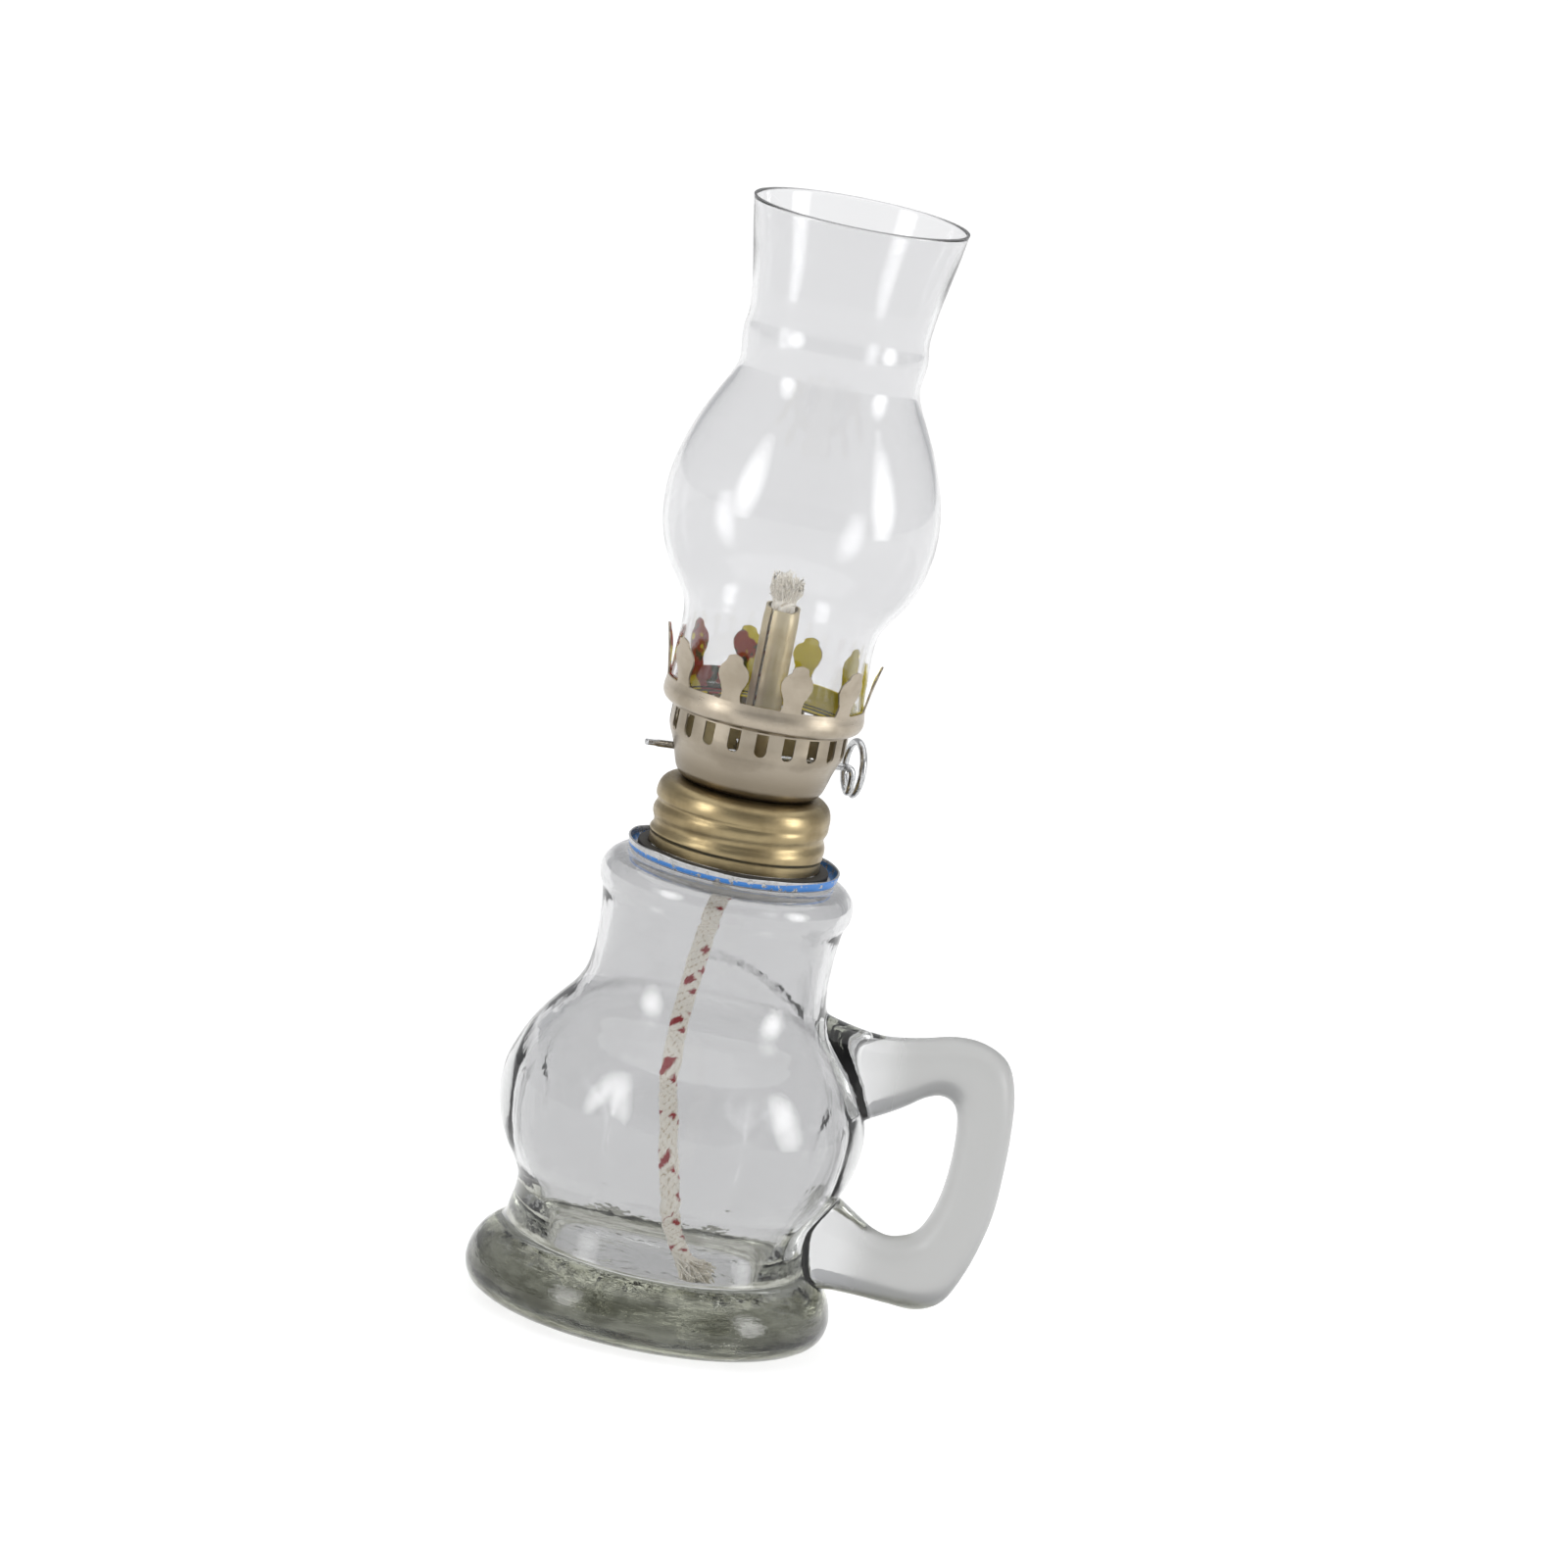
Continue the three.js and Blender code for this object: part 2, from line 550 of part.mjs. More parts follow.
function chimney() {
  const { wall, fitterRadius, fitterLength, bulbRadius, bulbHeight } = CHIMNEY;
  const { neckRadius, neckHeight, beadRadius, beadHeight } = CHIMNEY_TOP;
  const { waistRadius, waistHeight, radius, height } = CHIMNEY_RIM;
  const line = smooth(
    [
      [fitterRadius, 0.5],
      [fitterRadius, fitterLength - 1],
      [fitterRadius + 3, fitterLength + 4.4],
      [bulbRadius, bulbHeight],
      [bulbRadius - 3.1, bulbHeight + 15.4],
      [neckRadius + 1.7, neckHeight - 4.4],
      [neckRadius, neckHeight],
      [beadRadius, beadHeight],
      [waistRadius, waistHeight],
      [(waistRadius + radius) / 2 - 0.3, height - 11],
      [radius, height],
    ],
    20,
  ).map(([r, h]) => [r, h + CHIMNEY_BASE]);
  line.unshift([fitterRadius - 0.4, CHIMNEY_BASE]);
  return turned(sheetSection(line, wall), METAL_SEGMENTS);
}
add(lamp, "glass_chimney", chimney(), "chimneyGlass");

export default lamp;
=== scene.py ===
"""The looks of a small glass oil lamp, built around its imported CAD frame.

Shapes are written in millimetres and turned into metres where a mesh is made. Most heights come from the
frame's boxes, so the pieces meet as they do in the CAD model.
"""

import json
import math
import random

import bmesh
import bpy
import numpy as np
from mathutils import Matrix, Vector, noise


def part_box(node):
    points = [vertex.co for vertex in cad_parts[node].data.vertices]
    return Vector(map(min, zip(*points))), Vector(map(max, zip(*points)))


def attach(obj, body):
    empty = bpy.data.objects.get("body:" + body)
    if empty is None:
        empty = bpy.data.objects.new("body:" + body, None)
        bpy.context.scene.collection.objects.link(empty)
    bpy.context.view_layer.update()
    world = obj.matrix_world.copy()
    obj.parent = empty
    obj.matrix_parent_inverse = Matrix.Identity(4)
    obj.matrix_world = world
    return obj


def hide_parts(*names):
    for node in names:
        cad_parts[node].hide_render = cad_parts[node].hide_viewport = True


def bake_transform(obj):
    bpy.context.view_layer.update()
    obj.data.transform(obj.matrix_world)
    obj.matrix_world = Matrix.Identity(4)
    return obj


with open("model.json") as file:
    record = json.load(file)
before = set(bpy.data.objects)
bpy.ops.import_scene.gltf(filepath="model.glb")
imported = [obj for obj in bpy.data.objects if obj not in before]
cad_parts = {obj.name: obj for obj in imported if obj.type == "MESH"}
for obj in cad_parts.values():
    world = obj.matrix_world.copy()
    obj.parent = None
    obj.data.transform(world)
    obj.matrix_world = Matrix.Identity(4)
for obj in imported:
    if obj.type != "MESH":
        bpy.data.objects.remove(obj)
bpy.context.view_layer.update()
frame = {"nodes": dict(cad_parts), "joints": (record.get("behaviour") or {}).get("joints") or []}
MM = 0.001
TURN = 2 * math.pi


def low(node, axis=2):
    """A CAD node's lowest coordinate, in millimetres."""
    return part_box(node)[0][axis] / MM


def high(node, axis=2):
    """A CAD node's highest coordinate, in millimetres."""
    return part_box(node)[1][axis] / MM


SEAT = low("drip_ring")  # the glass shoulder under the drip ring
CAP_LOW, CAP_HIGH = low("screw_cap"), high("screw_cap")
CUP_HIGH = high("burner_cup")
CHIMNEY_LOW, CHIMNEY_HIGH = low("glass_chimney"), high("glass_chimney")
TUBE_LOW, TUBE_HIGH = low("wick_tube"), high("wick_tube")
WICK_HIGH = high("wick")
KNOB = next(joint for joint in frame["joints"] if joint["name"] == "knob_turn")
SPINDLE_POINT = Vector(KNOB["pos_m"]) / MM
SPINDLE_ALONG = -Vector(KNOB["axis"])  # from the plain end to the finger ring

SHEET = 0.45
THREAD_PITCH = 4.2
THREAD_DEPTH = 0.9
THREAD_ROOT = 14.55  # radius of the glass neck between the ridges of its thread
BORE_RADIUS = 12.2
CAP_RADIUS = 16.2
RING_INSIDE = 15.85  # inner radius of the drip ring and the gasket
PRONG_ROOT = 18.42  # radius of the crown where its prongs start
FLOOR = 9.0  # top of the font's glass floor


# ---- mesh helpers ----


def add(name, data):
    """A new object in the scene."""
    made = bpy.data.objects.new(name, data)
    bpy.context.scene.collection.objects.link(made)
    return made


def build(name, points_mm, faces, material=None, sharp_angle=None):
    """A mesh object from points in millimetres."""
    mesh = bpy.data.meshes.new(name)
    points = np.asarray(points_mm, float) * MM
    mesh.from_pydata([tuple(p) for p in points], [], [tuple(f) for f in faces])
    mesh.validate()
    smooth(mesh, sharp_angle)
    piece = add(name, mesh)
    if material is not None:
        paint(piece, material)
    return piece


def smooth(mesh, sharp_angle=None):
    """Smooth shading, but across edges sharper than an angle in degrees."""
    mesh.polygons.foreach_set("use_smooth", [True] * len(mesh.polygons))
    if sharp_angle is not None:
        mesh.set_sharp_from_angle(angle=math.radians(sharp_angle))


def paint(piece, *materials):
    """Gives the piece these materials and no others."""
    piece.data.materials.clear()
    for material in materials:
        piece.data.materials.append(material)


def points_of(piece):
    """The places of the piece's points, in millimetres."""
    return np.array([v.co for v in piece.data.vertices]) / MM


def move_points(piece, places_mm):
    piece.data.vertices.foreach_set("co", (places_mm * MM).ravel())
    piece.data.update()


def store(piece, name, values):
    """Keeps a value for each of the piece's points, for its material to read."""
    values = np.asarray(values, np.float32)
    piece.data.attributes.new(name, "FLOAT", "POINT").data.foreach_set("value", values)


def curve(points, step):
    """Points on a smooth curve through the given ones, about step apart."""
    points = np.asarray(points, float)
    padded = np.vstack([2 * points[0] - points[1], points, 2 * points[-1] - points[-2]])
    out = []
    for i in range(1, len(padded) - 2):
        p0, p1, p2, p3 = padded[i - 1 : i + 3]
        t01, t12, t23 = (max(np.linalg.norm(b - a), 1e-6) ** 0.5 for a, b in ((p0, p1), (p1, p2), (p2, p3)))
        m1 = p2 - p1 + t12 * ((p1 - p0) / t01 - (p2 - p0) / (t01 + t12))
        m2 = p2 - p1 + t12 * ((p3 - p2) / t23 - (p3 - p1) / (t12 + t23))
        count = max(1, round(np.linalg.norm(p2 - p1) / step))
        for k in range(count):
            t = k / count
            blend_a = 2 * t**3 - 3 * t**2 + 1
            blend_b = t**3 - 2 * t**2 + t
            out.append(blend_a * p1 + blend_b * m1 + (1 - blend_a) * p2 + (t**3 - t**2) * m2)
    out.append(points[-1])
    return np.array(out)


def raised(height, *points):
    """Points of a profile, whose heights are given from some height up."""
    return [(radius, height + above) for radius, above in points]


def bands(rings, sides, closed=False):
    """Faces between each ring of points and the next, and from the last to the first in a closed row."""
    faces = []
    for i in range(rings if closed else rings - 1):
        a, b = i * sides, ((i + 1) % rings) * sides
        for j in range(sides):
            k = (j + 1) % sides
            faces.append((a + j, a + k, b + k, b + j))
    return faces


def end_fans(rings, sides):
    """Faces from the first ring and from the last one to two more points that follow the rings."""
    faces = []
    first, top = rings * sides, (rings - 1) * sides
    for j in range(sides):
        k = (j + 1) % sides
        faces.append((k, j, first))
        faces.append((top + j, top + k, first + 1))
    return faces


def revolve(profile, segments, move=None):
    """Points and faces of a profile [[radius, height], ...] turned about Z.

    A profile whose two ends lie on the axis is closed by points there, and any other closes on itself.
    move(angle, radius, height) gives new radii and heights.
    """
    profile = np.asarray(profile, float)
    poles = profile[0][0] < 1e-6 and profile[-1][0] < 1e-6
    rings = profile[1:-1] if poles else profile
    if signed_area(profile) < 0:
        rings = rings[::-1]
        profile = profile[::-1]
    angle = np.linspace(0, TURN, segments, endpoint=False)
    radius = np.repeat(rings[:, 0][:, None], segments, 1)
    height = np.repeat(rings[:, 1][:, None], segments, 1)
    if move is not None:
        radius, height = move(np.broadcast_to(angle, radius.shape), radius, height)
    points = np.stack([radius * np.cos(angle), radius * np.sin(angle), height], -1).reshape(-1, 3)
    faces = bands(len(rings), segments, not poles)
    if poles:
        points = np.vstack([points, [0, 0, profile[0][1]], [0, 0, profile[-1][1]]])
        faces += end_fans(len(rings), segments)
    return points, faces


def signed_area(profile):
    """Positive when the profile, as a closed loop, runs anticlockwise in radius and height."""
    r, z = profile[:, 0], profile[:, 1]
    return float(np.sum(r * np.roll(z, -1) - np.roll(r, -1) * z)) / 2


def sheet(line, thickness):
    """A closed profile around a sheet that lies to the left of a line.

    thickness is a number, or one number for each point.
    """
    line = np.asarray(line, float)
    thickness = np.broadcast_to(thickness, len(line))
    along = np.gradient(line, axis=0)
    along /= np.linalg.norm(along, axis=1)[:, None]
    side = np.stack([-along[:, 1], along[:, 0]], -1)
    inner = line + side * thickness[:, None]
    middle = (line + inner) / 2
    bulge = 0.3 * along * thickness[:, None]  # the cut edges are a little round
    return np.vstack([line, middle[-1] + bulge[-1], inner[::-1], middle[0] - bulge[0]])


def sweep(path, radius, sides):
    """Points and faces of a tube along a path.

    radius is a number, or a function that gives each side's radius from the share of the length, from 0 to 1,
    and the angles around.
    """
    path = np.asarray(path, float)
    count = len(path)
    along = np.gradient(path, axis=0)
    along /= np.linalg.norm(along, axis=1)[:, None]
    start = np.cross(along[0], [0, 0, 1] if abs(along[0][2]) < 0.9 else [1, 0, 0])
    normals = [start / np.linalg.norm(start)]
    for i in range(1, count):
        n = normals[-1] - along[i] * np.dot(normals[-1], along[i])
        normals.append(n / np.linalg.norm(n))
    angle = np.linspace(0, TURN, sides, endpoint=False)
    points = []
    for i in range(count):
        binormal = np.cross(along[i], normals[i])
        r = radius(i / (count - 1), angle) if callable(radius) else np.full(sides, radius)
        ring = np.cos(angle)[:, None] * normals[i] + np.sin(angle)[:, None] * binormal
        points.append(path[i] + ring * r[:, None])
    return np.vstack([*points, path[0], path[-1]]), bands(count, sides) + end_fans(count, sides)


def two_skins(rows, columns):
    """Faces of a sheet that has two skins of rows by columns points, the outer one first."""
    count = rows * columns
    faces = []
    for k in range(rows - 1):
        for j in range(columns - 1):
            a, d = k * columns + j, (k + 1) * columns + j
            faces.append((a, a + 1, d + 1, d))
            faces.append((d + count, d + 1 + count, a + 1 + count, a + count))
    edge = [k * columns for k in range(rows)]
    edge += [(rows - 1) * columns + j for j in range(1, columns)]
    edge += [k * columns + columns - 1 for k in reversed(range(rows - 1))]
    edge += list(reversed(range(1, columns - 1)))
    for a, b in zip(edge, edge[1:] + edge[:1]):
        faces.append((a, b, b + count, a + count))
    return faces


def several(parts):
    """Points and faces of several meshes, put together."""
    points, faces, count = [], [], 0
    for p, f in parts:
        points.append(np.asarray(p, float))
        faces.extend(tuple(i + count for i in face) for face in f)
        count += len(p)
    return np.vstack(points), faces


def combine(piece, other, operation="DIFFERENCE"):
    """Cuts other out of piece, or joins them with UNION, and deletes other."""
    modifier = piece.modifiers.new("combine", "BOOLEAN")
    modifier.object = other
    modifier.operation = operation
    modifier.solver = "EXACT"
    graph = bpy.context.evaluated_depsgraph_get()
    mesh = bpy.data.meshes.new_from_object(piece.evaluated_get(graph))
    piece.modifiers.clear()
    piece.data = mesh
    bpy.data.objects.remove(other)


def rounded(value, start, end):
    """0 before start, 1 after end, and a smooth rise between. start may lie above end, for a fall."""
    t = np.clip((value - start) / (end - start), 0, 1)
    return t * t * (3 - 2 * t)


def ripple(points, size_mm, seed):
    """Smooth noise from -1 to 1 at each point in millimetres, with bumps about size_mm across."""
    shift = Vector((seed * 17.3, seed * 5.1, seed * 9.7))
    return np.array([noise.noise(Vector(p) / size_mm + shift) for p in points])


def replace(piece, body, slot, *nodes):
    """Attaches a piece that stands for CAD nodes to its body, and hides the nodes."""
    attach(piece, body)
    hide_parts(*nodes)


# ---- materials ----

RAMP_SOCKETS = ("From Min", "From Max", "To Min", "To Max")


class Finish:
    """A material with a Principled shader, and short ways to add procedural detail to it."""

    def __init__(self, name, color, roughness, metallic=0.0, **sockets):
        self.material = bpy.data.materials.new(name)
        self.material.use_nodes = True
        self.nodes = self.material.node_tree.nodes
        self.links = self.material.node_tree.links
        self.shader = self.nodes["Principled BSDF"]
        self.output = self.nodes["Material Output"]
        sockets = {"Base_Color": (*color, 1), "Roughness": roughness, "Metallic": metallic, **sockets}
        for socket, value in sockets.items():
            self.set(self.shader, socket.replace("_", " "), value)
        self.place = self.nodes.new("ShaderNodeTexCoord").outputs["Object"]

    @staticmethod
    def set(node, socket, value):
        node.inputs[socket].default_value = value

    def feed(self, socket, value):
        """Sets a socket to a number or a colour, or links a node's output to it."""
        if isinstance(value, tuple):
            socket.default_value = (*value, 1)
        elif isinstance(value, (int, float)):
            socket.default_value = value
        else:
            self.links.new(value, socket)

    def stretched(self, scale):
        """The object's coordinates, scaled by a different amount along each axis."""
        mapping = self.nodes.new("ShaderNodeMapping")
        self.set(mapping, "Scale", scale)
        self.links.new(self.place, mapping.inputs["Vector"])
        return mapping.outputs["Vector"]

    def grain(self, size_mm, detail, at=None):
        """Noise with spots about size_mm across."""
        node = self.nodes.new("ShaderNodeTexNoise")
        self.set(node, "Scale", 1 / (size_mm * MM))
        self.set(node, "Detail", detail)
        self.set(node, "Roughness", 0.55)
        self.links.new(at or self.place, node.inputs["Vector"])
        return node.outputs["Fac"]

    def step(self, value, start, end, low_value=0.0, high_value=1.0):
        """value, taken from start..end to low_value..high_value and held there."""
        node = self.nodes.new("ShaderNodeMapRange")
        node.interpolation_type = "SMOOTHSTEP"
        for socket, number in zip(RAMP_SOCKETS, (start, end, low_value, high_value)):
            self.set(node, socket, number)
        self.links.new(value, node.inputs["Value"])
        return node.outputs["Result"]

    def math(self, operation, a, b):
        node = self.nodes.new("ShaderNodeMath")
        node.operation = operation
        self.feed(node.inputs[0], a)
        self.feed(node.inputs[1], b)
        return node.outputs[0]

    def plus(self, a, b):
        return self.math("ADD", a, b)

    def times(self, a, b):
        return self.math("MULTIPLY", a, b)

    def across(self):
        """The distance from the lamp's axis, in metres."""
        squares = [self.times(self.axis(i), self.axis(i)) for i in (0, 1)]
        return self.math("SQRT", self.plus(*squares), 0)

    def attribute(self, name):
        """A value stored on the mesh's points."""
        node = self.nodes.new("ShaderNodeAttribute")
        node.attribute_name = name
        return node.outputs["Fac"]

    def mix(self, share, a, b):
        """A colour between a and b. Each is a colour or a node's output."""
        node = self.nodes.new("ShaderNodeMix")
        node.data_type = "RGBA"
        self.feed(node.inputs["Factor"], share)
        self.feed(node.inputs[6], a)
        self.feed(node.inputs[7], b)
        return node.outputs[2]

    def color(self, value):
        self.links.new(value, self.shader.inputs["Base Color"])

    def roughness(self, value):
        self.links.new(value, self.shader.inputs["Roughness"])

    def bump(self, value, height_mm):
        node = self.nodes.new("ShaderNodeBump")
        self.set(node, "Distance", height_mm * MM)
        self.links.new(value, node.inputs["Height"])
        self.links.new(node.outputs["Normal"], self.shader.inputs["Normal"])

    def axis(self, index):
        """One of the object's coordinates, in metres."""
        node = self.nodes.new("ShaderNodeSeparateXYZ")
        self.links.new(self.place, node.inputs[0])
        return node.outputs[index]


def glass(name, color, roughness, tint, density, ior):
    """Clear glass whose thick parts take on a tint."""
    made = Finish(name, color, roughness, Transmission_Weight=1.0, IOR=ior)
    absorption = made.nodes.new("ShaderNodeVolumeAbsorption")
    made.set(absorption, "Color", (*tint, 1))
    made.set(absorption, "Density", density)
    made.links.new(absorption.outputs["Volume"], made.output.inputs["Volume"])
    return made


def font_glass():
    """Thick pressed glass: frosted and grey in the handle, swirled in the foot, with painted shade in the
    foot's dark swirls and along the mould ridge.
    """
    made = glass("font_glass", (0.8, 0.8, 0.8), 0.0, tint=(0.62, 0.66, 0.6), density=9, ior=1.44)
    handle = made.step(made.axis(0), 0.0305, 0.0415)
    foot = made.times(made.step(made.axis(2), 0.0142, 0.0128), made.step(made.across(), 0.0215, 0.0245))
    swirl = made.grain(6, 4, at=made.stretched((0.55, 0.55, 2.2)))
    # Painted shade: the foot's colour is painted dark, in swirls.
    foot_painted_shade = made.mix(made.step(swirl, 0.36, 0.64), (0.09, 0.09, 0.06), (0.46, 0.46, 0.38))
    tone = made.mix(handle, (0.7, 0.7, 0.705), (0.48, 0.48, 0.475))
    # Painted shade: a nearly black line where the mould ridge stands.
    tone = made.mix(made.attribute("mould"), tone, (0.03, 0.03, 0.03))
    made.color(made.mix(foot, tone, foot_painted_shade))
    smear = made.step(made.grain(9, 2), 0.4, 0.7, 0.0, 0.04)
    frost = made.plus(made.times(handle, 0.34), made.times(foot, smear))
    made.roughness(made.plus(frost, 0.03))
    made.bump(made.plus(made.grain(3.2, 2), made.times(foot, made.times(swirl, 7))), 0.04)
    return made.material


def chimney_glass():
    """Clear thin glass with a ground rim."""
    made = glass("chimney_glass", (0.82, 0.82, 0.825), 0.03, tint=(0.8, 0.86, 0.84), density=4, ior=1.42)
    made.roughness(made.step(made.axis(2), (CHIMNEY_HIGH - 0.8) * MM, (CHIMNEY_HIGH - 0.3) * MM, 0.03, 0.6))
    made.bump(made.grain(11, 1), 0.05)
    return made.material


def satin_metal(name, color, dark, roughness, shade_below=None):
    """Satin sheet metal: a soft cloudy tone, and fine pressing lines around it.

    The last argument is a height, in millimetres, below which the colour is painted darker, as painted shade.
    """
    made = Finish(name, color, roughness, 1.0)
    clouds = made.grain(7, 4)
    lines = made.grain(0.35, 2, at=made.stretched((0.15, 0.15, 2.2)))
    wear_and_shade = made.step(clouds, 0.35, 0.72)
    if shade_below:
        # Painted shade: below this height the colour is painted darker.
        below = made.step(made.axis(2), (shade_below + 2.5) * MM, (shade_below - 2.5) * MM)
        wear_and_shade = made.math("MAXIMUM", made.times(wear_and_shade, 0.6), below)
    made.color(made.mix(wear_and_shade, color, dark))
    made.roughness(made.step(made.plus(clouds, lines), 0.7, 1.35, roughness - 0.07, roughness + 0.09))
    made.bump(made.plus(lines, made.times(made.grain(0.5, 3), 0.6)), 0.012)
    return made.material


def lacquered_metal():
    """The crown's inner side: yellow lacquer with a rubbed, blotchy print in dark red and dark green."""
    made = Finish("crown_lacquer", (0.6, 0.5, 0.12), 0.4)
    blotch = made.grain(4.5, 2)
    side = made.step(made.axis(0), 0.006, -0.012, -0.12, 0.16)
    printed = made.step(made.plus(blotch, side), 0.55, 0.6)
    green = made.step(made.grain(2.4, 2), 0.54, 0.58)
    inks = made.mix(green, (0.36, 0.025, 0.008), (0.045, 0.05, 0.015))
    ground = made.mix(made.grain(2, 3), (0.95, 0.77, 0.02), (0.72, 0.58, 0.03))
    made.color(made.mix(printed, ground, inks))
    made.bump(made.grain(0.6, 3), 0.02)
    return made.material


def tinplate():
    """Bright tinplate with a rubbed blue line low on its outer side; the part that rests on the glass is
    painted whitish, as painted light.
    """
    made = Finish("tinplate", (0.6, 0.61, 0.62), 0.3, 1.0)
    height = made.axis(2)
    right = made.step(made.axis(0), 0.004, 0.019)
    line_low = made.step(height, (SEAT + 0.35) * MM, (SEAT + 0.6) * MM)
    lowered = made.math("SUBTRACT", height, made.times(right, 0.0008))
    line_high = made.step(lowered, (SEAT + 1.5) * MM, (SEAT + 1.3) * MM)
    chips = made.step(made.grain(1.3, 3), 0.39, 0.44)
    blue = made.times(made.times(line_low, line_high), chips)
    bare = made.mix(made.grain(1.2, 3), (0.6, 0.61, 0.62), (0.3, 0.29, 0.28))
    # Painted light: the part that lies on the glass is painted whitish and not metallic, so that the glass
    # shoulder under it looks bright.
    painted_light_flange = made.step(made.across(), 0.0187, 0.018)
    tone = made.mix(blue, bare, (0.045, 0.2, 0.55))
    made.color(made.mix(painted_light_flange, tone, (0.8, 0.79, 0.77)))
    print_and_painted_light = made.math("MAXIMUM", blue, painted_light_flange)
    made.links.new(made.step(print_and_painted_light, 0, 1, 1, 0), made.shader.inputs["Metallic"])
    made.roughness(made.step(print_and_painted_light, 0, 1, 0.26, 0.45))
    made.bump(made.plus(chips, made.grain(0.4, 2)), 0.03)
    return made.material


def wire_steel():
    made = Finish("wire_steel", (0.62, 0.63, 0.64), 0.2, 1.0)
    drawn = made.grain(0.5, 2)
    made.color(made.mix(made.step(drawn, 0.4, 0.8), (0.52, 0.525, 0.53), (0.3, 0.3, 0.3)))
    made.roughness(made.step(drawn, 0.3, 0.8, 0.14, 0.32))
    made.bump(made.grain(0.25, 2), 0.008)
    return made.material


def rubber():
    made = Finish("rubber", (0.012, 0.011, 0.01), 0.7)
    made.color(made.mix(made.grain(1.5, 3), (0.01, 0.009, 0.008), (0.04, 0.036, 0.03)))
    made.bump(made.grain(0.3, 3), 0.03)
    return made.material


def cotton(name, woven):
    """Soft cotton thread. Woven, it has painted shade between its strands, and dark red flecks."""
    made = Finish(name, (0.9, 0.84, 0.72), 0.9, Sheen_Weight=0.4, Sheen_Roughness=0.5)
    threads = made.grain(0.35, 4)
    tone = made.mix(made.step(threads, 0.3, 0.75), (1.0, 0.97, 0.89), (0.95, 0.88, 0.75))
    if woven:
        # Painted shade: darker where the braid sinks between its strands.
        tone = made.mix(made.step(made.attribute("strand"), 0.05, 0.6), (0.6, 0.5, 0.36), tone)
        tone = made.mix(made.attribute("fleck"), tone, (0.33, 0.006, 0.012))
    made.color(tone)
    made.bump(threads, 0.12)
    return made.material


# ---- camera and light ----


def make_camera():
    """The camera stands in front of the lamp and a little above it, rolled so that the lamp leans right."""
    data = bpy.data.cameras.new("camera")
    data.sensor_width = 36
    data.lens = 246.3
    camera = add("camera", data)
    stand = Vector((0, -1.93, 0.481))
    aim = Vector((0.0065, 0, 0.1033))
    roll_degrees = 11.4
    look = (aim - stand).to_track_quat("-Z", "Y")
    roll = Matrix.Rotation(math.radians(roll_degrees), 4, "Z")
    camera.matrix_world = Matrix.Translation(stand) @ look.to_matrix().to_4x4() @ roll
    bpy.context.scene.camera = camera


def make_light(name, place, target, width, height, power):
    data = bpy.data.lights.new(name, "AREA")
    data.energy = power
    data.shape = "ELLIPSE"
    data.size = width
    data.size_y = height
    light = add(name, data)
    light.location = place
    light.rotation_euler = (Vector(target) - Vector(place)).to_track_quat("-Z", "Y").to_euler()
    light.visible_camera = False


def make_soft_box(name, place, power):
    """A tall light that fades towards its edge: ovals of equal brightness, one in front of another."""
    width, height = 0.6, 1.1
    target = (0, 0, 0.12)
    shares = (1.35, 1.15, 0.95, 0.75, 0.5)
    whole = sum(share**2 for share in shares)
    for index, share in enumerate(shares):
        spot = Vector(place) * (1 - 0.01 * index)
        make_light(f"{name}_{share}", spot, target, width * share, height * share, power * share**2 / whole)


def make_room():
    """The grey room around: darker behind the camera than at the sides, and lighter low down."""
    world = bpy.data.worlds.new("room")
    bpy.context.scene.world = world
    world.use_nodes = True
    nodes, links = world.node_tree.nodes, world.node_tree.links
    direction = nodes.new("ShaderNodeTexCoord").outputs["Generated"]
    parts = nodes.new("ShaderNodeSeparateXYZ")
    links.new(direction, parts.inputs[0])
    front, rise = (nodes.new("ShaderNodeMapRange") for _ in range(2))
    rise.interpolation_type = "SMOOTHSTEP"
    for node, numbers in ((front, (-0.55, -0.95, 0.5, 0.2)), (rise, (0, 0.4, 0.62))):
        for socket, number in zip(RAMP_SOCKETS, numbers):
            node.inputs[socket].default_value = number
    links.new(parts.outputs["Y"], front.inputs["Value"])
    links.new(parts.outputs["Z"], rise.inputs["Value"])
    links.new(front.outputs["Result"], rise.inputs["To Max"])
    background = nodes["Background"]
    background.inputs["Color"].default_value = (0.97, 0.98, 1, 1)
    links.new(rise.outputs["Result"], background.inputs["Strength"])


def make_studio():
    """A glowing white floor, two tall soft boxes in front and a large soft light overhead, in a grey room."""
    make_room()
    make_soft_box("box_left", (-1.35, -1.1, 0.6), 11)
    make_soft_box("box_right", (1.65, -0.5, 0.55), 12)
    make_light("overhead", (0, 0.6, 3.2), (0, 0.6, 0), 6.8, 6.8, 110)
    glow = {"Emission_Color": (1, 1, 1, 1), "Emission_Strength": 0.66}
    paper = Finish("floor_paper", (0.4, 0.4, 0.4), 0.8, **glow)
    paper.color(paper.mix(paper.grain(40, 2), (0.41, 0.41, 0.41), (0.39, 0.39, 0.39)))
    reach, top, bottom = 6000, -0.6, -4
    disc = revolve([[0, top], [reach, top], [reach, bottom], [0, bottom]], 64)
    floor = build("floor", *disc, paper.material, 30)
    bpy.context.scene.view_settings.view_transform = "Standard"


# ---- wick ----

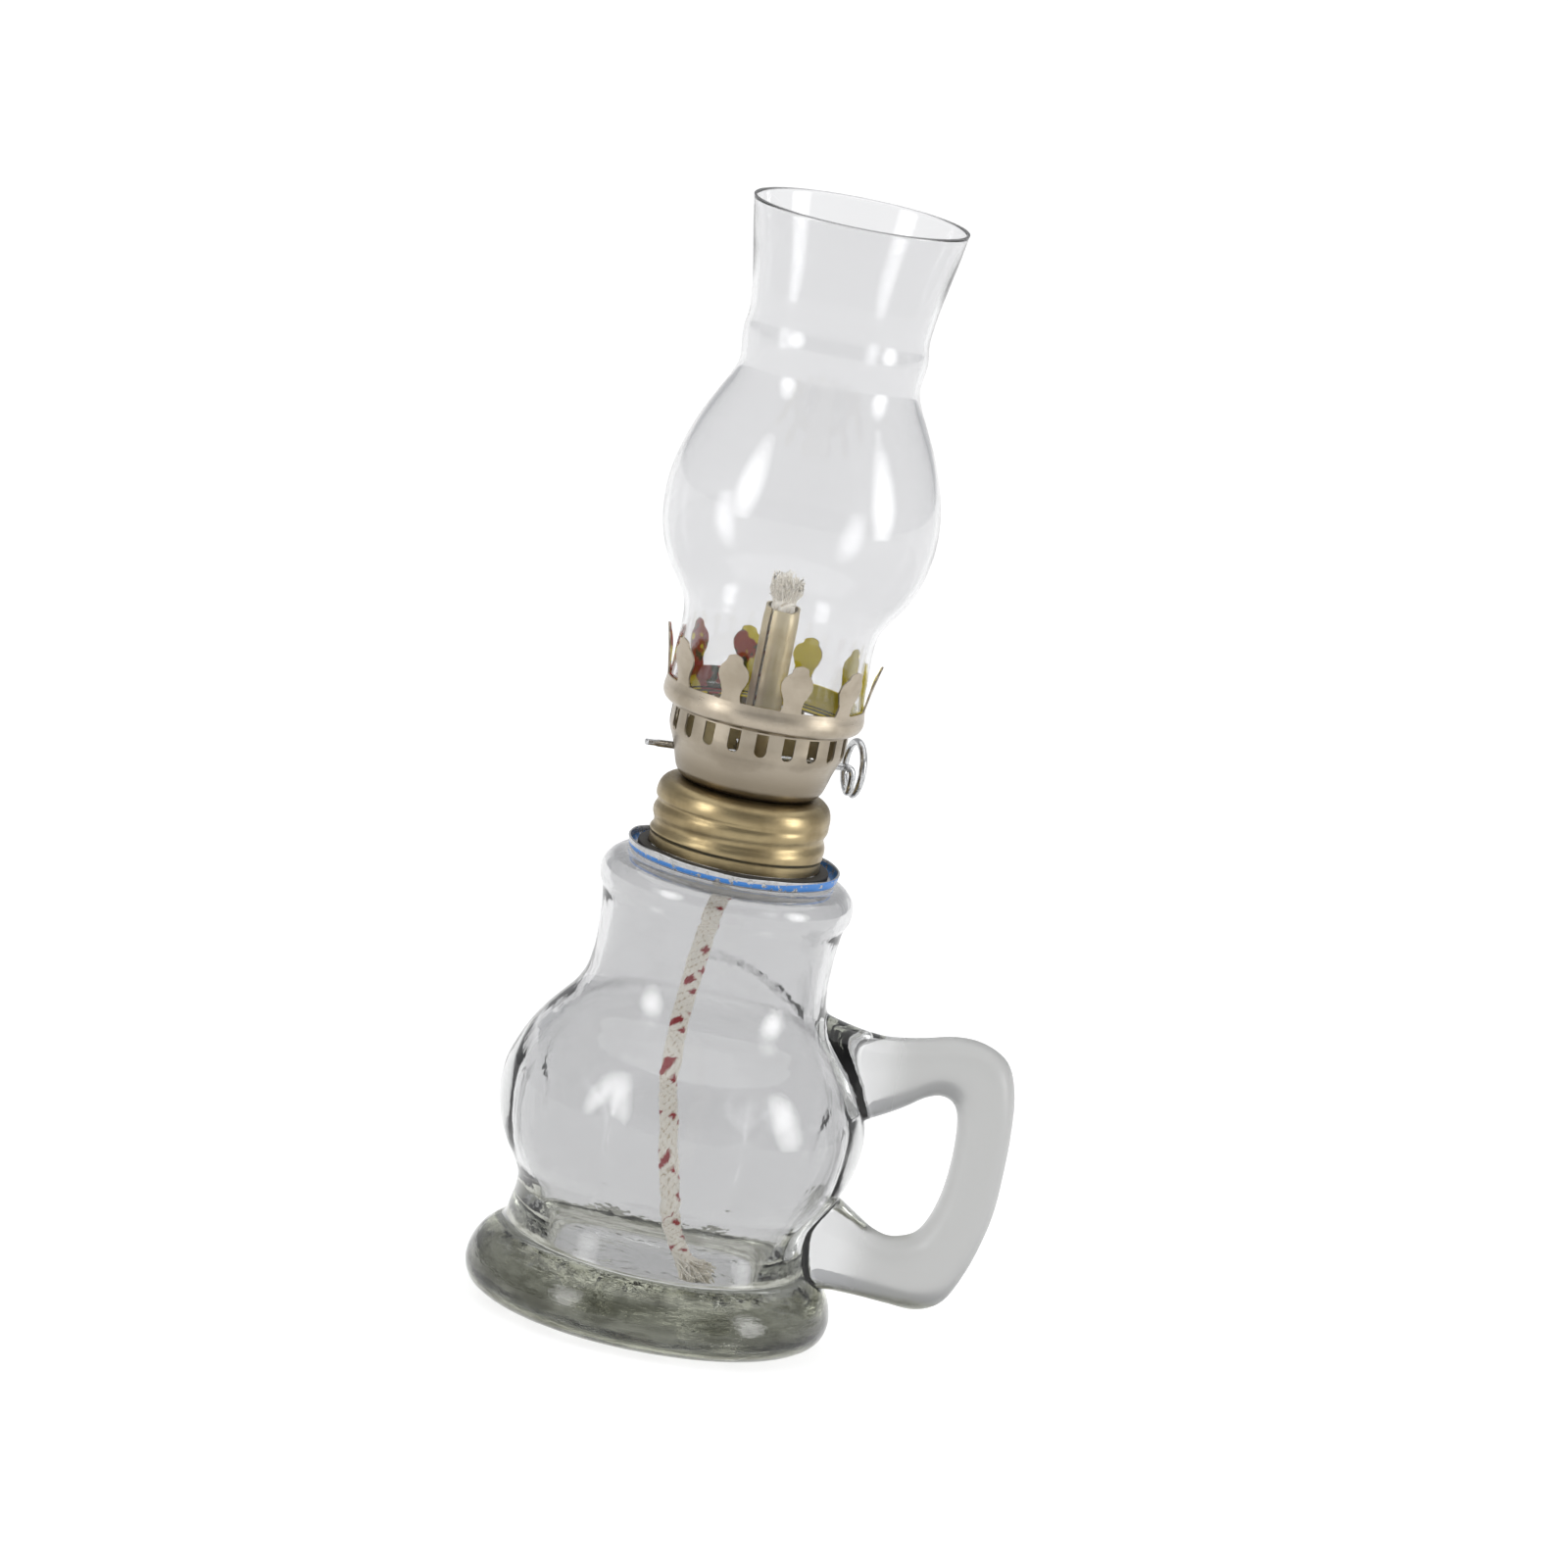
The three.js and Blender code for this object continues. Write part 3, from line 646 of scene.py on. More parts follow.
# The tail's route, in millimetres: down from the tube, and over to one side on the floor of the font.
TAIL_ROUTE = [
    (0, 0, 91.7), (-0.1, 0, 88), (-0.9, 0, 82), (-1.9, -0.2, 75), (-2.8, -0.4, 68), (-3.4, -0.6, 61),
    (-3.8, -0.8, 54), (-3.7, -1, 47), (-2.9, -1.4, 40), (-1.5, -2, 33.5), (0.1, -3, 27.6), (1.6, -4.4, 22.6),
    (2.9, -6, 18.2), (4.2, -7.8, 14.6), (5.7, -9.6, 12.1), (7.3, -11.4, 11.2),
]
WICK_RADIUS = 2.3
TAIL_RADIUS = 1.8
TUFT_RADIUS = 3.15
BRAID_PAIRS = 5  # strands that run each way round the wick
BRAID_PITCH = 8.5  # length in which a strand goes once round
PLAIN_TOP = 9  # length at the top of the wick that has no red flecks


def braid(angle, along_mm):
    """The braid at some angles and a length along the wick.

    Gives its height, from 0 to 1, the nearest strand of each family, and where the first family's is on top.
    """
    right = BRAID_PAIRS * (angle / TURN + along_mm / BRAID_PITCH)
    left = BRAID_PAIRS * (angle / TURN - along_mm / BRAID_PITCH)
    strand_right, strand_left = np.floor(right + 0.5), np.floor(left + 0.5)
    on_top = (strand_right + strand_left) % 2 > 0.5
    return np.abs(np.cos(math.pi * np.where(on_top, right, left))), strand_right, strand_left, on_top


def flecks(angle, along_mm, points):
    """How red the wick is at each place: short pieces of one strand in each family."""
    _, right, left, on_top = braid(angle, along_mm)
    red = np.where(on_top, right % BRAID_PAIRS == 2, left % BRAID_PAIRS == 4)
    unfaded = ripple(points, 6, 3) > -0.05
    return red & unfaded & (points[:, 2] < WICK_HIGH - PLAIN_TOP)


def braided(name, path, radius_at, material):
    """A braided cord along a path in millimetres, with its flecks and its strands' height stored on it."""
    path, sides = curve(path, 0.42), 36
    run = np.concatenate([[0], np.cumsum(np.linalg.norm(np.diff(path, axis=0), axis=1))])

    def radius(share, angle):
        return radius_at(share) * (0.8 + 0.2 * braid(angle, run[-1] * share)[0])

    points, faces = sweep(path, radius, sides)
    piece = build(name, points, faces, material)
    angle = np.linspace(0, TURN, sides, endpoint=False)
    rings = [points[i * sides : (i + 1) * sides] for i in range(len(path))]
    red = [flecks(angle, along, ring) for along, ring in zip(run, rings)]
    strand = [braid(angle, along)[0] for along in run]
    for attribute, values in (("fleck", red), ("strand", strand)):
        store(piece, attribute, np.concatenate([*values, [0, 0]]))
    return piece, path, run[-1]


def strands(count, seed, start, direction, length, spread, thickness, droop=0.0):
    """Loose threads that start around a point and fan out along a direction."""
    rng = random.Random(seed)
    direction = Vector(direction).normalized()
    parts = []
    for _ in range(count):
        side = Vector((rng.gauss(0, 1), rng.gauss(0, 1), rng.gauss(0, 1)))
        side = (side - direction * side.dot(direction)).normalized()
        root = Vector(start) + side * rng.uniform(0, WICK_RADIUS * 0.85)
        reach = length * rng.uniform(0.55, 1.05)
        bend = Vector((rng.gauss(0, 1), rng.gauss(0, 1), rng.gauss(0, 0.6))) * 0.22 * reach
        fan = side * rng.uniform(0.2, 1) * spread
        path = []
        for k in range(7):
            t = k / 6
            point = root + direction * reach * t + fan * t * t + bend * t * (1 - t) * 1.6
            point.z -= droop * t * t
            path.append(point)
        parts.append(sweep(curve([tuple(p) for p in path], 1.2), thickness * rng.uniform(0.7, 1.2), 5))
    return several(parts)


def round_off(points, middle, radius):
    """Draws in the upper points outside a rough ball, and all points too far from the lamp's axis."""
    away = points - np.array(middle)
    reach = np.linalg.norm(away, axis=1)
    limit = radius * (1.05 + 0.5 * ripple(points, 0.35, 9))
    upper = away[:, 2] > 0
    points[upper] -= (away * (1 - np.minimum(1, limit / np.maximum(reach, 1e-6)))[:, None])[upper]
    across = np.hypot(points[:, 0], points[:, 1])
    points[:, :2] *= np.minimum(1, radius / np.maximum(across, 1e-6))[:, None]


def make_wick_tail(material, loose):
    tail, path, length = braided("wick_tail_braid", TAIL_ROUTE, lambda share: TAIL_RADIUS, material)
    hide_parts("wick_tail")
    end = Vector(TAIL_ROUTE[-1])
    way = (end - Vector(TAIL_ROUTE[-2])) * Vector((1, 1, 0.2))
    start = end - way.normalized() * 2.2
    points, faces = strands(170, 5, start, way, length=5.6, spread=2.2, thickness=0.2, droop=0.5)
    points[:, 2] = np.maximum(points[:, 2], FLOOR + 0.3)
    tassel = build("wick_tassel", points, faces, loose)
    for piece in (tail, tassel):
        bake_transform(piece)


def make_wick(material, loose):
    top = WICK_HIGH - 4.6
    route = [(0, 0, low("wick")), (0, 0, (low("wick") + top) / 2), (0, 0, top)]

    def radius(share):
        return WICK_RADIUS * (1 - 0.25 * rounded(share, 0.97, 1.0))

    stretch, _, _ = braided("wick_braid", route, radius, material)
    replace(stretch, "wick", "cotton", "wick")
    parts = [
        strands(100, 11, (0, 0, top - 2), (0, 0, 1), length=6.6, spread=1.6, thickness=0.1),
        strands(100, 12, (0.2, 0, top - 1.6), (0.1, 0, 1), length=5.4, spread=3, thickness=0.09),
        strands(90, 13, (-0.2, 0, top - 1.2), (-0.2, 0, 1), length=4, spread=3.8, thickness=0.08),
    ]
    points, faces = several(parts)
    round_off(points, Vector((0, 0, top + 1.6)), TUFT_RADIUS)
    tuft = build("wick_tuft", points, faces, loose)
    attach(tuft, "wick")


# ---- glass font ----

LOBES = 8


def font_lobes(angle, radius, height):
    """Eight soft lobes around the belly, with a crease between each two and a scalloped lower end."""
    step = TURN / LOBES
    off = np.abs((angle / step - np.round(angle / step)) * 2)
    bottom = 22.6 + 2.2 * off**2
    run = rounded(height, bottom, bottom + 12) * rounded(height, 51, 38)
    swell = 0.45 * run * (1 - off**4)
    crease = 0.45 * run * np.exp(-(((1 - off) / 0.2) ** 2))
    belly = (height > 20) & (height < 56) & (radius > 24)
    return radius + np.where(belly, swell - crease - 0.15 * run, 0), height


def font_outer():
    foot = curve(
        [
            (26.5, 0), (30.4, 0.45), (33.2, 2.3), (34.15, 5.2), (33.6, 8.3), (32.2, 10.9), (30.4, 12.6),
            (29, 13.4), (28.5, 14.1),
        ],
        0.6,
    )
    body = curve(
        [
            (28.5, 14.1), (28.1, 16.4), (27.5, 20), (27.7, 22.8), (29.2, 25.8), (31.2, 29.2), (32.8, 33.4),
            (33.65, 38.2), (33.5, 42.8), (32.1, 47.4), (29.8, 52), (26.8, 56), (24.2, 59.2), (22.6, 62.4),
            (21.95, 66), (21.85, 71), (22.2, 76), (22.7, 78.9), (23.35, 80.3), (23.6, 82), (23.2, 83.9),
            (22, 85.3), (20.6, SEAT - 0.25), (19, SEAT),
        ],
        0.6,
    )
    underside = [(r, 0.0) for r in np.arange(1.5, 26.5, 1.0)]
    top = high("glass_font")
    neck = [(r, SEAT) for r in (17.5, 16, THREAD_ROOT + 0.2)]
    neck += [(THREAD_ROOT, z) for z in np.arange(SEAT + 0.4, top - 0.7, 0.4)]
    neck += raised(top, (THREAD_ROOT - 0.3, -0.25), (THREAD_ROOT - 1, 0), (6, 0), (0, 0))
    profile = np.array([(0, 0), *underside, *foot, *body[1:], *neck])

    def move(angle, radius, height):
        radius, height = font_lobes(angle, radius, height)
        threads = (height > SEAT + 0.3) & (radius > THREAD_ROOT - 0.1) & (radius < THREAD_ROOT + 0.1)
        run = rounded(height, SEAT + 2.4, SEAT + 3.8) * rounded(height, top - 1.2, top - 2.4)
        wave = (1 + np.cos(TURN * height / THREAD_PITCH - angle)) / 2
        return radius + np.where(threads, THREAD_DEPTH * wave * run, 0), height

    return revolve(profile, 224, move)


def font_cavity():
    wall = curve(
        [
            (18.6, FLOOR + 0.2), (20.8, FLOOR + 0.8), (22, 11.6), (22.8, 15), (23.4, 19), (24.2, 23),
            (26, 26.6), (28, 30.4), (29.5, 34.8), (30.1, 39.5), (29.7, 44.2), (28, 49.2), (25.2, 53.6),
            (22.4, 57.8), (20.5, 62), (19.9, 66.5), (19.9, 72), (20.3, 76.8), (21, 79.4), (21.6, 81.4),
            (21.4, 83), (20.2, 84.2), (17.5, 84.7), (14, 85), (12.4, 86.4), (BORE_RADIUS, 92),
        ],
        0.8,
    )
    floor = [(r, FLOOR + 0.2 * (r / 18.6) ** 2) for r in np.arange(1.5, 18.5, 1.0)]
    mouth = high("glass_font") + 2
    profile = np.array([(0, FLOOR), *floor, *wall, (BORE_RADIUS, mouth), (0, mouth)])
    return revolve(profile, 192)


# The handle's side view, in millimetres: for each station the outer line's point, then the inner line's.
HANDLE_STATIONS = [
    ((17, 63.6), (19, 44)), ((23, 62.4), (25.4, 43.4)), ((29, 61.1), (31, 43.6)),
    ((35, 60.6), (35.6, 45.9)), ((41, 61.5), (39.8, 48.5)), ((47, 62.9), (43.4, 51.1)),
    ((52.5, 62.6), (46.3, 52)), ((57.2, 60), (48.7, 51)), ((59.5, 54.5), (49.9, 48.4)),
    ((60.3, 47), (50.4, 44)), ((60.4, 40), (50.4, 38.5)), ((60.1, 32.5), (49.8, 33)),
    ((58.9, 26), (48.4, 28.2)), ((56.9, 19.5), (46.5, 25.2)), ((54, 13.8), (43.8, 23.9)),
    ((49.5, 11.4), (41.2, 23.6)), ((44, 11.5), (38, 24.7)), ((38.5, 11.8), (34.6, 27)),
    ((33, 11.8), (31, 29.3)), ((27, 11.4), (26.5, 30)), ((20.5, 11), (21, 30)),
]
HANDLE_DEPTH = 5.4  # half its width, front to back
HANDLE_SQUARENESS = 0.72  # 1 would make its sections round


def handle_loft():
    """The handle: rounded sections that follow its outer and inner lines."""
    count, sides = 110, 40
    angle = np.linspace(0, TURN, sides, endpoint=False)
    across = np.sign(np.cos(angle)) * np.abs(np.cos(angle)) ** HANDLE_SQUARENESS
    deep = np.sign(np.sin(angle)) * np.abs(np.sin(angle)) ** HANDLE_SQUARENESS
    points = []
    for share in np.linspace(0, 1, count):
        outer, inner = handle_point(0, share), handle_point(1, share)
        middle, half = (outer + inner) / 2, (outer - inner) / 2
        depth = HANDLE_DEPTH * (1 + 0.22 * rounded(middle[0], 36, 27))
        line = middle + half * across[:, None]
        points += list(zip(line[:, 0], depth * deep, line[:, 1]))
    faces = [(a, d, c, b) for a, b, c, d in bands(count, sides)]
    faces.append(tuple(range(sides)))
    faces.append(tuple(reversed(range((count - 1) * sides, count * sides))))
    return points, faces


def handle_point(side, share):
    """The outer (0) or inner (1) line's point at a share of the way along the handle."""
    line = np.array([station[side] for station in HANDLE_STATIONS], float)
    t = share * (len(line) - 1)
    i = min(int(t), len(line) - 2)
    t -= i
    p0, p1, p2, p3 = (line[min(max(n, 0), len(line) - 1)] for n in (i - 1, i, i + 1, i + 2))
    square = 2 * p0 - 5 * p1 + 4 * p2 - p3
    cube = 3 * p1 - p0 - 3 * p2 + p3
    return 0.5 * (2 * p1 + (p2 - p0) * t + square * t**2 + cube * t**3)


def soften_joint(piece, rounds):
    """Rounds the glass where the handle flows into the body."""
    made = bmesh.new()
    made.from_mesh(piece.data)
    bmesh.ops.triangulate(made, faces=[f for f in made.faces if len(f.verts) > 4])
    shares = {v: in_joint(v.co / MM) for v in made.verts}
    near = {v: share for v, share in shares.items() if share > 0}
    for _ in range(rounds):
        moves = {}
        for v, share in near.items():
            around = [e.other_vert(v).co for e in v.link_edges]
            moves[v] = v.co.lerp(sum(around, Vector()) / len(around), 0.5 * share)
        for v, co in moves.items():
            v.co = co
    made.to_mesh(piece.data)
    made.free()


def in_joint(p):
    """How close a point lies to the line where the handle meets the body, from 0 to 1."""
    if p.x < 18 or abs(p.y) > 8.5 or p.z < 10.4:
        return 0
    radius = math.hypot(p.x, p.y)
    upper = rounded(math.hypot(p.x - 26, p.z - 54), 13.5, 10) * rounded(radius, 37.5, 33.5)
    lower = rounded(math.hypot(p.x - 29.5, p.z - 21), 12, 9) * rounded(radius, 36, 32.5)
    return float(max(upper, lower) * rounded(p.z, 10.4, 11.6))


def make_font(material):
    body = build("font_body_glass", *font_outer(), material)
    combine(body, build("handle", *handle_loft()), "UNION")
    soften_joint(body, 6)
    combine(body, build("cavity", *font_cavity()))
    stipple_foot(body)
    raise_mould_line(body)
    smooth(body.data, 50)
    paint(body, material)
    body.visible_shadow = False
    replace(body, "font", "font_glass", "glass_font")


def stipple_foot(piece):
    """Small pits and swirls in the underside of the foot, and slow waves in the floor of the font."""
    places = points_of(piece)
    x, y, z = places.T  # a change to these changes the places
    radius = np.hypot(x, y)
    under = (z < 0.05) & (radius < 26.3) & (radius > 5)
    pits = 0.28 * np.abs(ripple(places, 2.1, 1)) + 0.22 * np.abs(ripple(places * (1, 1, 0), 5.5, 2))
    z += np.where(under, pits * rounded(radius, 26.3, 24.5), 0)
    inside = (z > FLOOR - 0.1) & (z < FLOOR + 0.9) & (radius < 19)
    z += np.where(inside, 0.16 * ripple(places, 7, 4), 0)
    move_points(piece, places)


def raise_mould_line(piece):
    """The line that the mould left: a rough ridge that falls from the middle of the back to the handle, and
    painted shade stored along it.
    """
    high_end, fall, reach, half_width = 65.4, 5.6, 19, 1.2
    places = points_of(piece)
    x, y, z = places.T
    radius = np.hypot(x, y)
    share = np.clip(x / reach, 0, 1)
    off = np.abs(z - (high_end - fall * share**1.6))
    near = (y > 0) & (radius > 21) & (x > -0.8) & (x < reach + 0.5) & (off < half_width)
    rough = np.where(near, 0.6 + ripple(places, 0.9, 8), 0)
    grow = 1 + 0.65 * rough * rounded(off, half_width, 0.3) / np.maximum(radius, 1)
    # Painted shade: how dark the glass is painted along the ridge, more so towards the handle.
    mould_painted_shade = np.clip(rough * (0.55 + 0.45 * share), 0, 1) * rounded(off, 1.1, 0.6)
    places[:, :2] *= grow[:, None]
    move_points(piece, places)
    store(piece, "mould", mould_painted_shade)


# ---- glass chimney ----


def make_chimney(material):
    line = curve(
        [
            (17.55, 0), (17.9, 0.7), (17.9, 8), (17.85, 16.2), (18.5, 18.8), (20.2, 21.6), (22.3, 24.8),
            (24.1, 29), (25.15, 34), (25.3, 38.6), (24.7, 43.4), (23.3, 48.4), (21.2, 53.6), (19.2, 57.6),
            (17.6, 60.8), (16.75, 63.6), (16.85, 65.8), (17.15, 68.2), (17.15, 70), (16.8, 72.2),
            (16.85, 74.6), (17.3, 78.4), (18.2, 83.4), (19.2, 88.8), (20, 93.8),
        ],
        0.6,
    )
    line = line + np.array([0, CHIMNEY_LOW])
    line[:, 1] = np.minimum(line[:, 1], CHIMNEY_HIGH - 0.2)
    wall = 1 - 0.55 * rounded(line[:, 1], CHIMNEY_HIGH - 16, CHIMNEY_HIGH)
    chimney = build("chimney_blown_glass", *revolve(sheet(line, wall), 160), material)
    chimney.visible_shadow = False
    replace(chimney, "chimney", "chimney_glass", "glass_chimney")


# ---- drip ring, gasket and screw cap ----


def make_drip_ring(material):
    line = curve(raised(SEAT, (RING_INSIDE, 0), (17.6, 0), (18.7, 0.2), (19.4, 0.95), (19.75, 2.4)), 0.3)

    def move(angle, radius, height):
        lift = rounded(radius, 18.2, 19.8)
        wave = 0.16 * np.sin(2 * angle + 0.6) + 0.1 * np.sin(5 * angle) + 0.06 * np.sin(11 * angle + 2)
        return radius + lift * 0.12 * np.sin(3 * angle + 1), height + lift * (wave - 0.2)

    ring = build("drip_ring_tin", *revolve(sheet(line, 0.38), 192, move), material, 40)
    replace(ring, "collar", "tinplate", "drip_ring")


def make_gasket(material):
    corner = 0.35
    inside, outside = RING_INSIDE + corner, high("cap_gasket", 0) - 0.05 - corner
    under, over = low("cap_gasket") + 0.03 + corner, high("cap_gasket") - 0.03 - corner
    line = []
    middles = ((outside, under), (outside, over), (inside, over), (inside, under))
    for quarter, (radius, height) in enumerate(middles):
        for k in range(6):
            angle = math.radians(90 * quarter - 90 + 18 * k)
            line.append((radius + corner * math.cos(angle), height + corner * math.sin(angle)))
    points, faces = revolve(line, 128)
    points[:, 2] += 0.03 * ripple(points, 3, 6)
    replace(build("gasket_rubber", points, faces, material), "collar", "gasket_rubber", "cap_gasket")


def make_cap(material):
    """The cap: a sheet shell with a broad dome, a rolled thread and a plain lower band."""
    dome_height = 4.2
    shoulder = CAP_HIGH - dome_height
    skirt = [(CAP_RADIUS, z) for z in np.arange(CAP_LOW + 0.05, shoulder, 0.16)]
    dome = raised(
        CAP_HIGH, (CAP_RADIUS, -dome_height), (CAP_RADIUS - 0.05, -2.9), (CAP_RADIUS - 0.5, -1.5),
        (CAP_RADIUS - 1.5, -0.5), (CAP_RADIUS - 3, -0.1), (CAP_RADIUS - 4.6, -0.04), (8.9, -0.04),
    )
    line = np.array([*skirt, *curve(dome, 0.25)])

    def move(angle, radius, height):
        run = rounded(height, CAP_LOW + 2.2, CAP_LOW + 3.4) * rounded(height, shoulder + 0.4, shoulder - 0.8)
        wave = (1 + np.cos(TURN * height / THREAD_PITCH - angle)) / 2
        wall = radius > CAP_RADIUS - SHEET - 0.4
        low_band = 0.25 * rounded(height, CAP_LOW + 2.6, CAP_LOW + 1.8)
        return radius - np.where(wall, THREAD_DEPTH * 0.6 * (1 - wave) ** 1.3 * run + low_band, 0), height

    cap = build("cap_shell", *revolve(sheet(line, SHEET), 224, move), material, 45)
    replace(cap, "burner", "cap_brass", "screw_cap")


# ---- burner ----

SLOT_COUNT = 20


def cup_line():
    band = CUP_HIGH - 5.3
    line = raised(CAP_HIGH, (9, 0.02), (11.4, 0.02), (12.6, 0.5), (13.6, 1.6), (14.25, 3.4), (14.75, 5.2))
    line += raised(band, (15.5, -1), (16.1, 0.3), (16.4, 1.7))
    line += raised(CUP_HIGH, (16.4, -2.4), (16.4, -0.05))
    return curve(line, 0.3)


def two_finishes(piece, outside, inside):
    """The faces that look towards the axis get the inside finish, and all others the outside one."""
    paint(piece, outside, inside)
    for polygon in piece.data.polygons:
        middle = Vector((polygon.center.x, polygon.center.y, 0)).normalized()
        polygon.material_index = 1 if polygon.normal.dot(middle) < -0.3 else 0


def make_cup(material, inside):
    cup = build("cup_shell", *revolve(sheet(cup_line(), 0.4), 240))
    parts = [slot_cutter(TURN * (i + 0.2) / SLOT_COUNT) for i in range(SLOT_COUNT)]
    combine(cup, build("slots", *several(parts)))
    ends = [tuple(SPINDLE_POINT + SPINDLE_ALONG * reach) for reach in (-25, 25)]
    combine(cup, build("bore", *sweep(ends, 0.95, 24)))
    smooth(cup.data, 40)
    # The inner faces take the inside metal, whose darker colour is painted shade.
    two_finishes(cup, material, inside)
    replace(cup, "burner", "burner_metal", "burner_cup")


def slot_cutter(angle):
    """One upright slot with a round lower end, standing across the cup's band. angle 0 faces the front."""
    half, height, top = 1.12, 4.3, CUP_HIGH - 0.35
    middle = top - height + half
    outline = [(half, top), (-half, top)]
    outline += [(half * math.cos(a), middle + half * math.sin(a)) for a in np.linspace(math.pi, TURN, 12)]
    count = len(outline)
    c, s = math.cos(angle), math.sin(angle)
    points = [(x * c - depth * s, x * s + depth * c, z) for depth in (-19.0, -13.0) for x, z in outline]
    faces = [tuple(range(count)), tuple(reversed(range(count, 2 * count)))]
    faces += [(i, i + count, (i + 1) % count + count, (i + 1) % count) for i in range(count)]
    return points, faces


PRONG_COUNT = 10
PRONG_HEIGHT = 9.0
# Half the prong's width at a share of its height: a narrow neck, a round head and a knob on top.
PRONG_OUTLINE = [
    (0, 2.5), (0.08, 1.95), (0.2, 1.75), (0.32, 2.0), (0.42, 2.5), (0.52, 2.82), (0.62, 2.86), (0.71, 2.6),
    (0.78, 2.1), (0.83, 1.6), (0.87, 1.42), (0.91, 1.45), (0.95, 1.25), (0.985, 0.75), (1, 0.2),
]


def prong(index, base_height):
    """One club-shaped prong: a curved sheet that leans out, with a rough cut edge."""
    rng = random.Random(40 + index)
    angle0 = TURN * (index + 0.45) / PRONG_COUNT - math.pi / 2
    rows, columns, thickness = 30, 9, 0.36
    lean = math.tan(math.radians(9.5 + rng.uniform(-2, 2)))
    tall = PRONG_HEIGHT * rng.uniform(0.96, 1.03)
    marks, halves = zip(*PRONG_OUTLINE)
    skins = []
    for side in (0, 1):
        for k in range(rows):
            v = k / (rows - 1)
            half = float(np.interp(v, marks, halves))
            rough = 0.13 if v > 0.05 else 0
            left = -half + rough * noise.noise(Vector((index * 3.1, v * 16, 1)))
            right = half + rough * noise.noise(Vector((index * 3.1, v * 16, 7)))
            for j in range(columns):
                u = left + (right - left) * j / (columns - 1)
                z = base_height - 0.5 + (tall + 0.5) * v
                out = PRONG_ROOT + lean * max(z - base_height, 0) + 0.25 * v**3
                burr = 0.1 * noise.noise(Vector((index, u * 1.3, v * 5))) * v
                r = out + burr - side * thickness
                a = angle0 + u / PRONG_ROOT
                skins.append((r * math.cos(a), r * math.sin(a), z))
    return skins, two_skins(rows, columns)


def make_crown(outside, inside):
    """The crown: a ledge, a rounded bead and ten prongs, one skin satin metal and the other lacquered."""
    ring_height = 4.8
    line = raised(
        CUP_HIGH, (15.6, 0.02), (16.4, 0.02), (17.3, 0.2), (18.2, 0.8), (18.64, 1.8), (18.66, 2.8),
        (18.5, 3.9), (PRONG_ROOT, ring_height),
    )
    parts = [revolve(sheet(curve(line, 0.25), 0.4), 240)]
    parts += [prong(i, CUP_HIGH + ring_height) for i in range(PRONG_COUNT)]
    crown = build("crown_shell", *several(parts), outside, 50)
    two_finishes(crown, outside, inside)
    replace(crown, "burner", "crown_tin", "chimney_crown")


def make_plate(material):
    top = high("tube_plate")
    rim, barrel, collar = 10.1, 8.5, 3.6
    step = CAP_HIGH + SHEET + 0.3 + SHEET
    line = raised(low("tube_plate"), (rim - 0.3, 0.1), (barrel + 0.3, 0.35))
    line += [(barrel, CAP_HIGH + 0.2), *raised(step, (barrel + 0.25, -0.2), (rim, -0.05))]
    eyelet = revolve(sheet(curve(line, 0.25), 0.35), 96)
    floor_line = raised(step, (barrel + 1.1, 0), (6, -0.1), (collar + 0.7, -0.1), (collar + 0.12, 0.05))
    disc = revolve(sheet(curve([*floor_line, (collar, top)], 0.25), 0.32), 96)
    plate = build("tube_plate_eyelet", *several([eyelet, disc]), material, 45)
    replace(plate, "burner", "burner_metal", "tube_plate")


def make_tube(material):
    """The wick tube: a sheet rolled round the wick, with an open seam and a window for the star wheels."""
    radius, wall, seam = 3.3, 0.4, -0.7 * math.pi
    gap = 0.3 / radius
    rows, columns = 90, 72
    skins = []
    for r in (radius, radius - wall):
        for k in range(rows):
            z = TUBE_LOW + (TUBE_HIGH - TUBE_LOW) * k / (rows - 1)
            mouth = float(rounded(z, TUBE_HIGH - 2.2, TUBE_HIGH))
            for j in range(columns):
                a = seam + gap + (TURN - 2 * gap) * j / (columns - 1)
                edge = math.exp(-(((j if j < columns / 2 else columns - 1 - j) / 5) ** 2))
                out = r - 0.12 * mouth - 0.1 * edge
                lip = 0.22 * mouth * noise.noise(Vector((math.cos(a), math.sin(a), 4)) * 1.7)
                skins.append((out * math.cos(a), out * math.sin(a), z + min(lip, 0)))
    tube = build("tube_shell", skins, two_skins(rows, columns))
    out = Vector((SPINDLE_POINT.x, SPINDLE_POINT.y, 0)).normalized()
    path = [tuple(out * reach + Vector((0, 0, SPINDLE_POINT.z))) for reach in (1.1, 6)]
    combine(tube, build("window", *sweep(path, 3.1, 4)))
    smooth(tube.data, 40)
    paint(tube, material)
    replace(tube, "burner", "burner_metal", "wick_tube")


